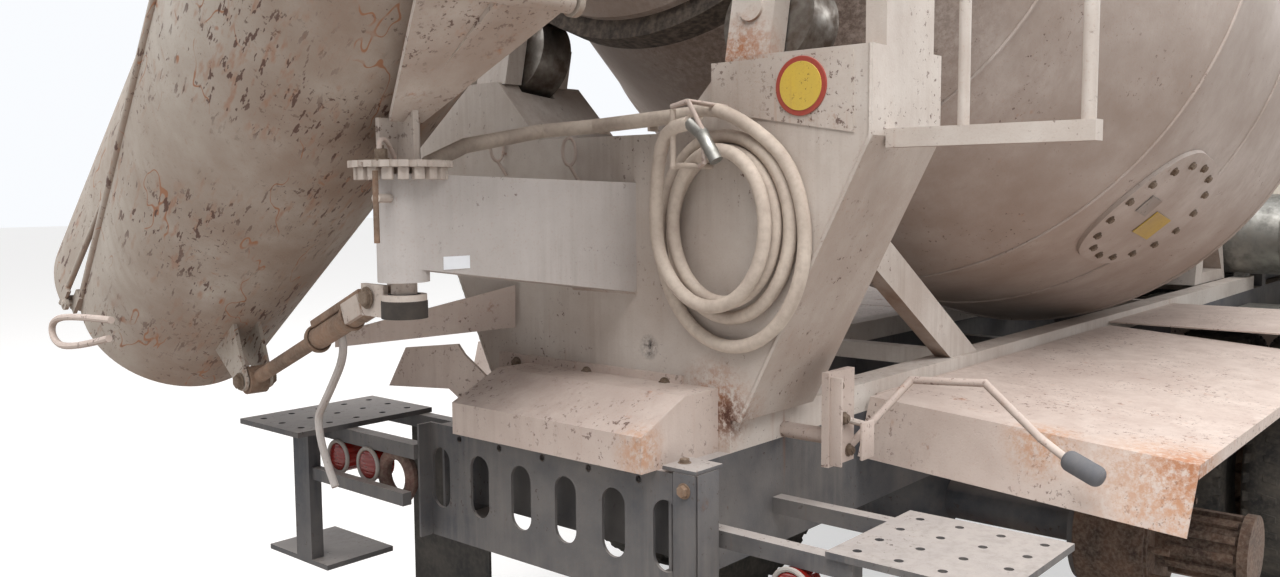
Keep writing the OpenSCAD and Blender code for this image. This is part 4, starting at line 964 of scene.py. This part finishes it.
bent_bar([at_pin(0.112, 1.549), at_pin(0.112, 1.696)], 0.006, "lock_pin", "chassis", jack_steel)
bent_bar([at_pin(0.055, 1.640), at_pin(0.112, 1.640)], 0.010, "lock_pin_guide", "chassis", speckled_enamel)
bent_bar([at_pin(0.085, 1.722), at_pin(0.100, 1.756), at_pin(0.078, 1.764, 0.012), at_pin(0.062, 1.722, 0.020)],
         0.005, "lock_handle", "chute_swivel", rusty_enamel, soft=True)
fasten(hex_nut(0.013, 0.022, bolt_end=True), [at_pin(0.085, 1.730)], "lock_nut", "chute_swivel")
print("blocks under the disc:", len(block_places))

# %% [markdown]
# The screw jack sets the chute's slope. Its barrel is a rectangular channel with a gear block at the foot, and a
# bent crank hangs from it. All of it is built along X and then stood on the barrel's line, from the foot bolt to
# the eye.

# %% Jack's clevis, bolts and crank
JACK_FOOT, JACK_HEAD = (0.080, 1.425), (0.720, 1.165)
collar = disc(0.0495, 0.052, from_post(0, 0, 1.410), (0, 0, 1))
finish_piece(collar, "clevis_grease", "chute_swivel", grease)
across = Matrix.Rotation(CHUTE_YAW, 3, "Z") @ Vector((0, 1, 0))
for side, word in SIDES:
    fasten(turned_to(hex_nut(0.019, 0.012), across * side), [from_post(JACK_FOOT[0], side * 0.050, JACK_FOOT[1])],
           "foot_nut_" + word, "chute_swivel")
    fasten(turned_to(hex_nut(0.018, 0.012), across * side), [from_post(JACK_HEAD[0], side * 0.048, JACK_HEAD[1])],
           "head_nut_" + word, "chute")

jack_line = Vector((JACK_HEAD[0] - JACK_FOOT[0], 0, JACK_HEAD[1] - JACK_FOOT[1]))
jack_slope = math.atan2(-jack_line.z, jack_line.x)
jack_turn = Matrix.Rotation(CHUTE_YAW, 4, "Z") @ Matrix.Rotation(jack_slope, 4, "Y")
jack_place = Matrix.Translation(from_post(JACK_FOOT[0], 0, JACK_FOOT[1])) @ jack_turn


def on_jack(piece, name, material):
    """Stands a piece, built along X from the jack's foot, on the barrel."""
    piece.data.transform(jack_place)
    return finish_piece(piece, name, "jack_barrel", material)


on_jack(soft_plate((0.060, -0.024, 0.022), (0.300, 0.024, 0.040), 0.003), "jack_channel", jack_steel)
on_jack(soft_plate((0.062, -0.030, -0.020), (0.140, 0.030, 0.030), 0.004), "jack_gear_block", speckled_enamel)
for place, radius in ((0.150, 0.0295), (0.322, 0.031)):
    on_jack(facing_ring(radius, 0.004, (place, 0, 0), wide=1.6), f"jack_band_{int(place * 1000)}", jack_steel)
bent_bar([from_post(0.330, -0.032, 1.322), from_post(0.322, -0.045, 1.279), from_post(0.440, -0.055, 1.150),
          from_post(0.530, -0.060, 1.061), from_post(0.438, -0.066, 0.917)], 0.010, "jack_crank", "jack_barrel",
         arm_enamel, soft=True)
print("jack sloped at", round(math.degrees(jack_slope), 1), "degrees")

# %% [markdown]
# A bent rod on the chute's right edge is the handle that swings it by hand. It starts and ends on the edge and
# stands out to the rear, so that a gloved hand fits behind it.

# %% Handle of the chute
handle = [at(-0.66, y, z) for y, z in ((0.860, 1.340), (1.060, 1.336), (1.230, 1.318), (1.240, 1.262),
                                       (1.140, 1.240), (0.880, 1.292))]
bent_bar(handle, 0.009, "chute_handle", "chute", rusty_enamel, soft=True)
print("handle bent through", len(handle), "places")

# %% [markdown]
# ## Drum
# The drum is rolled from cones, welded ring to ring, and inside it two spiral blades lift the concrete to the
# mouth. The seams are thin beads round the axis, and each blade is a strip that follows a spiral, made by a loop
# of cross lines.

# %% Weld seams round the drum
DRUM_RADIUS, BELLY_START, BELLY_END, FRONT_END, FRONT_RADIUS = 1.150, 1.320, 2.600, 4.200, 0.560
MOUTH_RADIUS, NECK, SEAT_RADIUS, SEAT_HALF = 0.420, 0.390, 0.650, 0.070
SHELL = 0.008
drum_turn = Matrix.Translation(at(*RING_PLACE)) @ Matrix.Rotation(math.pi / 2 + DRUM_TILT, 4, "Y")


def drum_radius(along):
    """The shell's outer radius at a distance in front of the track ring."""
    marks = [(-NECK, MOUTH_RADIUS), (-SEAT_HALF, SEAT_RADIUS), (SEAT_HALF, SEAT_RADIUS), (BELLY_START, DRUM_RADIUS),
             (BELLY_END, DRUM_RADIUS), (FRONT_END, FRONT_RADIUS)]
    for (start, first), (stop, second) in zip(marks, marks[1:]):
        if along <= stop:
            return first + (second - first) * (along - start) / (stop - start)
    return FRONT_RADIUS


SEAMS = (0.10, 0.68, BELLY_START, BELLY_START + 0.64, BELLY_END, BELLY_END + 0.8)
for index, along in enumerate(SEAMS):
    start_clean()
    bpy.ops.mesh.primitive_torus_add(major_radius=drum_radius(along) + 0.001, minor_radius=0.006,
                                     major_segments=128, minor_segments=8)
    seam = bpy.context.object
    seam.data.transform(drum_turn @ Matrix.Translation((0, 0, along)))
    finish_piece(seam, f"drum_seam_{index}", "drum", drum_enamel, smooth=60)
print("seams:", len(SEAMS))

# %% [markdown]
# Each blade stands on the drum's inner wall. A flat grid is the start: its length is wound round the axis and its
# width stands inwards, and a modifier gives the sheet its thickness.

# %% Spiral blades
BLADE_HIGH = 0.24
BLADE_TURN = 1.35
BLADE_LENGTH = 2.6
BLADE_LEAN = 0.05
BLADE_STEPS = 90


def spiral_blade(start_angle, name):
    """A strip that stands on the inner wall and winds from the mouth into the drum."""
    start_clean()
    bpy.ops.mesh.primitive_grid_add(x_subdivisions=BLADE_STEPS, y_subdivisions=3, size=1)
    blade = bpy.context.object
    for corner in blade.data.vertices:
        share = corner.co.x + 0.5
        inward = corner.co.y + 0.5
        along = -NECK + 0.03 + share * BLADE_LENGTH
        angle = start_angle + share * BLADE_LENGTH / BLADE_TURN * 2 * math.pi
        radius = drum_radius(along) - SHELL - 0.004 - inward * BLADE_HIGH * min(1.0, 0.45 + share * 3)
        corner.co = (radius * math.cos(angle), radius * math.sin(angle), along + inward * BLADE_LEAN)
    apply_modifier(blade, "SOLIDIFY", thickness=0.005, offset=0.0)
    blade.data.transform(drum_turn)
    return finish_piece(blade, name, "drum", rusty_enamel, smooth=40)


spiral_blade(0.4, "blade_one")
spiral_blade(0.4 + math.pi, "blade_two")
print("blades wind", round(BLADE_LENGTH / BLADE_TURN, 2), "times")

# %% [markdown]
# The manhole's oval cover is bolted all round, with two blank plates beside its middle. Its bolts stand on the
# curved shell, so each is placed by its own angle round the drum.

# %% Bolts and blank plates of the manhole
HATCH_ALONG, HATCH_TURN, HATCH_LONG, HATCH_WIDE = 1.760, math.radians(-44), 0.610, 0.500
COVER_RISE, HATCH_BOLTS, BOLT_INSET = 0.014, 16, 0.035


def on_drum(along, side, rise):
    """A matrix that stands a piece on the shell: side is the distance round the drum from the manhole's middle."""
    radius = drum_radius(along) + rise
    angle = HATCH_TURN + side / radius
    return (drum_turn @ Matrix.Rotation(angle, 4, "Z") @ Matrix.Translation((radius, 0, along))
            @ Matrix.Rotation(math.pi / 2, 4, "Y"))


angles = [2 * math.pi * index / HATCH_BOLTS for index in range(HATCH_BOLTS)]
fasten(hex_nut(0.012, 0.012), [on_drum(HATCH_ALONG + math.cos(a) * (HATCH_LONG / 2 - BOLT_INSET),
                                       math.sin(a) * (HATCH_WIDE / 2 - BOLT_INSET), COVER_RISE + 0.006)
                               for a in angles], "manhole_bolts", "drum")


def drum_plate(along, side, length, width, name, material):
    """A blank plate with a raised rim, standing on the shell."""
    start_clean()
    bpy.ops.mesh.primitive_cube_add(size=1)
    plate = bpy.context.object
    plate.scale = (length, width, 0.003)
    set_place(plate)
    pick_faces(plate, lambda face: face.normal.z > 0.9)
    bpy.ops.mesh.inset(thickness=0.008)
    bpy.ops.transform.translate(value=(0, 0, -0.001))
    leave_edit()
    plate.data.transform(on_drum(along, side, COVER_RISE + 0.003))
    return finish_piece(plate, name, "drum", material)


grey_enamel = aged_enamel("grey plate enamel", "#8f918f", 0.2)
drum_plate(HATCH_ALONG + 0.06, 0.03, 0.16, 0.10, "blank_plate_yellow", yellow_enamel)
drum_plate(HATCH_ALONG - 0.12, -0.02, 0.10, 0.07, "blank_plate_grey", grey_enamel)
print("bolts round the manhole:", HATCH_BOLTS)

# %% [markdown]
# ## Details at the frame's end
# A forged tow hook, three ringed lamps, a bracket bolted to the right rail and the lever's pins finish the rear.
# The hook is a thick bar bent to most of a circle, and each lamp is a shallow dome in a thin ring.

# %% Tow hook and lamps
HOOK_MIDDLE, HOOK_RADIUS = at(-0.040, 0.545, 0.872), 0.062
bends = [math.radians(-60 + 295 * step / 20) for step in range(21)]
bent_bar([HOOK_MIDDLE + HOOK_RADIUS * Vector((0, math.cos(a), math.sin(a))) for a in bends], 0.019, "tow_hook",
         "chassis", hook_iron)


def lens_dome(radius, flatness, place, name, material, segments):
    """A lens that bulges a little from its ring."""
    start_clean()
    bpy.ops.mesh.primitive_uv_sphere_add(segments=segments, ring_count=segments // 2, radius=radius)
    lens = bpy.context.object
    lens.scale = (flatness, 1.0, 1.0)
    lens.location = place
    return finish_piece(lens, name, "chassis", material, smooth=60)


LAMPS = (at(-0.062, 0.654, 0.888), at(-0.062, 0.800, 0.888), at(0.083, -0.660, 0.798))
for index, place in enumerate(LAMPS):
    finish_piece(facing_ring(0.046, 0.006, place), f"lamp_rim_{index}", "chassis", grey_enamel)
    lens_dome(0.040, 0.18, place - Vector((0.001, 0, 0)), f"lamp_lens_{index}", red_lens, 24)
print("lamps with rims:", len(LAMPS))

# %% [markdown]
# The rail's end is closed by a bracket folded from one sheet. Three soft-edged plates that meet along their edges
# give the same shape, and stay easy to size.

# %% Bracket at the right rail's end, and its bolts
web = soft_plate(at(-0.014, -0.480, 0.690), at(-0.006, -0.415, 1.036), 0.002)
cap = soft_plate(at(-0.014, -0.480, 1.036), at(0.085, -0.385, 1.046), 0.002)
lip = soft_plate(at(-0.014, -0.480, 0.690), at(0.070, -0.472, 1.036), 0.002)
bracket = joined([web, cap, lip], "rail_end_bracket")
finish_piece(bracket, bracket.name, "chassis", chassis_enamel)
fasten(hex_nut(0.012, 0.010), [at(0.035, -0.410, 1.051)], "bracket_cap_bolt", "chassis")
web_bolts = [at(-0.020, -0.447, z) for z in (0.998, 0.740)]
fasten(turned_to(hex_nut(0.014, 0.012), REARWARD), web_bolts, "bracket_web_bolts", "chassis", wheel_iron)
print("bolts at the rail's end:", 1 + len(web_bolts))

# %% [markdown]
# The drum's control lever ends in a moulded nylon grip. It is a cylinder whose ends are rounded by a wide bevel,
# which leaves a short straight part in the middle, as the real grip has.

# %% Lever's bracket, pins and knob
pins = [at(0.495, -0.566, 1.012), at(0.470, -0.566, 1.095), at(0.440, -0.566, 1.180)]
fasten(turned_to(hex_nut(0.013, 0.012, bolt_end=True), (0, -1, 0)), pins, "lever_pins", "chassis")
outer = soft_plate(at(0.405, -0.592, 0.990), at(0.412, -0.560, 1.205), 0.002)
link_plate = soft_plate(at(0.470, -0.612, 0.996), at(0.530, -0.604, 1.090), 0.003)
finish_piece(joined([outer, link_plate], "lever_bracket"), "lever_bracket", "chassis", rusty_enamel)
bent_bar([at(0.470, -0.548, 1.095), at(0.520, -0.600, 1.075)], 0.008, "lever_link", "chassis", speckled_enamel)
start_clean()
bpy.ops.mesh.primitive_cylinder_add(vertices=32, radius=0.026, depth=0.104)
knob = bpy.context.object
apply_modifier(knob, "BEVEL", width=0.020, segments=6, limit_method="ANGLE", angle_limit=math.radians(60))
turned_to(knob, (0, -0.08, -0.035))
knob.location = at(0.750, -1.040, 0.9925)
finish_piece(knob, "lever_knob", "chassis", knob_plastic, smooth=60)
print("pins of the lever:", len(pins))

# %% [markdown]
# A small blank label sticks to the arm's flat side, a little above its lower edge. It is a thin card of coated
# paper that lies along the arm, so its turn comes from the arm's own two ends.

# %% Label on the arm
paper_card = dusty_rubber("coated label paper", "#eceef2", "#d3d4d6", 0.3)
start_clean()
bpy.ops.mesh.primitive_cube_add(size=1)
label = bpy.context.object
label.scale = (0.068, 0.001, 0.028)
set_place(label)
ARM_SIDE = (at(-0.410, -0.055, 0), at(0.220, -0.110, 0))
along_arm = (ARM_SIDE[1] - ARM_SIDE[0]).normalized()
arm_turn = math.atan2(along_arm.y, along_arm.x)
LABEL_SHARE = 0.147
label.rotation_euler = (0, 0, arm_turn)
label.location = ARM_SIDE[0].lerp(ARM_SIDE[1], LABEL_SHARE) + Vector((0, -0.0012, 1.500))
finish_piece(label, "blank_label", "chassis", paper_card, smooth=0)
print("label turned", round(math.degrees(arm_turn), 1), "degrees")

# %% [markdown]
# A bent flange stiffens the rear plate's left edge, and a flat bar reaches from the pedestal to the left, where
# it steadied the chute in its parked place. Both are plain plates with their edges softened.

# %% Flange and side bar
flange = soft_plate(at(-0.022, 0.4455, 0.720), at(0.002, 0.4515, 1.000), 0.0015)
finish_piece(flange, "rear_plate_flange", "chassis", rusty_enamel)
bar_corners = [at(0.205, 0.322, 1.395), at(-0.160, 0.646, 1.273), at(-0.160, 0.648, 1.234), at(0.205, 0.325, 1.278)]
finish_piece(flat_piece(bar_corners, 0.008), "side_bar", "chassis", rusty_enamel, smooth=0)
print("side bar is", round((bar_corners[1] - bar_corners[0]).length, 2), "m long")

# %% [markdown]
# ## Cab
# The cab is pressed steel with its black plastic trim: a grille of slats, wipers, door handles and mirrors with
# silvered glass. Inside are two sprung seats in woven cloth. All ride with the cab, so that they tilt with it.

# %% Grille, wipers and seats
CAB_FRONT, CAB_HALF, CAB_FLOOR, CAB_ROOF, BELT = 7.880, 1.150, 1.130, 2.880, 1.900
SEAT_SIDE = 0.620
slats = []
for z in (1.262, 1.352, 1.442, 1.532, 1.622, 1.712):
    slats.append(soft_plate(at(CAB_FRONT - 0.004, -0.735, z), at(CAB_FRONT + 0.012, 0.735, z + 0.030), 0.005))
for y in (-0.765, 0.735):
    slats.append(soft_plate(at(CAB_FRONT - 0.004, y, 1.240), at(CAB_FRONT + 0.016, y + 0.030, 1.765), 0.005))
for z in (1.235, 1.745):
    slats.append(soft_plate(at(CAB_FRONT - 0.004, -0.765, z), at(CAB_FRONT + 0.016, 0.765, z + 0.030), 0.006))
finish_piece(joined(slats, "grille"), "grille", "cab", trim_plastic)


def screen_x(z):
    """The windscreen's outer face at a height."""
    low, high = BELT + 0.060, CAB_ROOF - 0.210
    return CAB_FRONT - 0.014 - 0.182 * (z - low) / (high - low)


for side, word in SIDES:
    pivot = at(screen_x(1.935) + 0.030, side * 0.520, 1.925)
    tip = at(screen_x(2.380) + 0.016, side * 0.180, 2.380)
    middle = pivot.lerp(tip, 0.62)
    bent_bar([pivot - Vector((0.03, 0, 0.005)), pivot, middle], 0.006, "wiper_arm_" + word, "cab", trim_plastic)
    start = at(screen_x(2.060) + 0.012, side * 0.270, 2.060)
    stop = at(screen_x(2.560) + 0.012, side * 0.300, 2.560)
    bent_bar([start, stop], 0.005, "wiper_blade_" + word, "cab", flap_rubber)
    seat, door = side * SEAT_SIDE, side * (CAB_HALF + 0.001)
    cushion = soft_plate(at(6.898, seat - 0.275, CAB_FLOOR + 0.365),
                         at(7.425, seat + 0.275, CAB_FLOOR + 0.545), 0.035)
    rest = soft_plate((-0.050, seat - 0.255, 0.0), (0.085, seat + 0.255, 0.720), 0.040)
    rest.data.transform(Matrix.Translation(at(6.865, 0, CAB_FLOOR + 0.500)) @ Matrix.Rotation(-0.09, 4, "Y"))
    head = soft_plate(at(6.800, seat - 0.130, 2.330), at(6.885, seat + 0.130, 2.490), 0.030)
    finish_piece(joined([cushion, rest, head], "seat_" + word), "seat_" + word, "cab", seat_cloth)
    grip = soft_plate(at(6.930, door - 0.012, 1.700), at(7.090, door + 0.012, 1.745), 0.008)
    finish_piece(grip, "door_handle_" + word, "door_" + word, trim_plastic)
    silver = soft_plate(at(7.786, side * 1.310 - 0.090, 1.965), at(7.7895, side * 1.310 + 0.090, 2.465), 0.001)
    finish_piece(silver, "mirror_glass_" + word, "cab", mirror_glass)
print("bars of the grille:", len(slats))

# %% [markdown]
# Each headlight is a ribbed lens in a plated ring, with a mirror behind it that throws the lamp's light forward.
# They sit in the bumper, so they stay on the chassis when the cab tilts.

# %% Headlights
HEADLIGHT_SIDE = 0.880
for side, word in SIDES:
    lamp_place = at(7.966, side * HEADLIGHT_SIDE, 0.700)
    finish_piece(facing_ring(0.098, 0.009, lamp_place - Vector((0.004, 0, 0))), "headlight_ring_" + word, "chassis",
                 plate_steel)
    lens_dome(0.093, 0.14, lamp_place, "headlight_lens_" + word, clear_lens, 48)
    finish_piece(disc(0.092, 0.004, lamp_place, (1, 0, 0)), "headlight_mirror_" + word, "chassis", mirror_glass)
print("headlights stand", 2 * HEADLIGHT_SIDE, "m apart")

# %% [markdown]
# ## Tanks on the chassis
# The fuel tank hangs in two steel straps, the air tanks have seams near their ends, and the water tank lies
# across the frame in four bands. The caps are short cylinders with every other pair of corners drawn in, which
# makes their ribs.

# %% Straps, caps and seams
STRAP = 0.003
for index, x in enumerate((4.640, 5.260)):
    end = x + 0.050
    outer = soft_plate(at(x, 1.1495, 0.640), at(end, 1.1495 + STRAP, 0.930), 0.0008)
    over = soft_plate(at(x, 0.500, 1.0095), at(end, 1.070, 1.0095 + STRAP), 0.0008)
    low = soft_plate(at(x, 0.500, 0.5605 - STRAP), at(end, 1.070, 0.5605), 0.0008)
    strap = joined([outer, over, low], f"tank_strap_{index}")
    finish_piece(strap, strap.name, "chassis", chassis_enamel)


def ribbed_cap(radius, height, place, name):
    """A filler cap along Z with a ribbed rim."""
    start_clean()
    bpy.ops.mesh.primitive_cylinder_add(vertices=48, radius=radius, depth=height)
    cap = bpy.context.object
    for vertex in cap.data.vertices:
        if vertex.index // 2 % 2:
            vertex.co.x *= 0.94
            vertex.co.y *= 0.94
    cap.location = place
    return finish_piece(cap, name, "chassis", trim_plastic, smooth=20)


ribbed_cap(0.052, 0.035, at(4.860, 0.930, 1.027), "fuel_cap")
ribbed_cap(0.040, 0.030, at(5.540, 0.560, 1.620), "water_cap")
for index, y in enumerate((-0.600, -0.200, 0.200, 0.600)):
    band = ring_band(0.2415, 0.004, wide=3.5)
    band.data.transform(Matrix.Translation(at(5.540, y, 1.370)))
    finish_piece(band, f"water_tank_band_{index}", "chassis", plate_steel)
for index, (x, z) in enumerate(((4.130, 0.640), (4.820, 0.640), (4.130, 0.900), (4.820, 0.900))):
    finish_piece(facing_ring(0.121, 0.003, at(x, -0.760, z)), f"air_tank_seam_{index}", "chassis", chassis_enamel)
print("air tank seams:", index + 1)
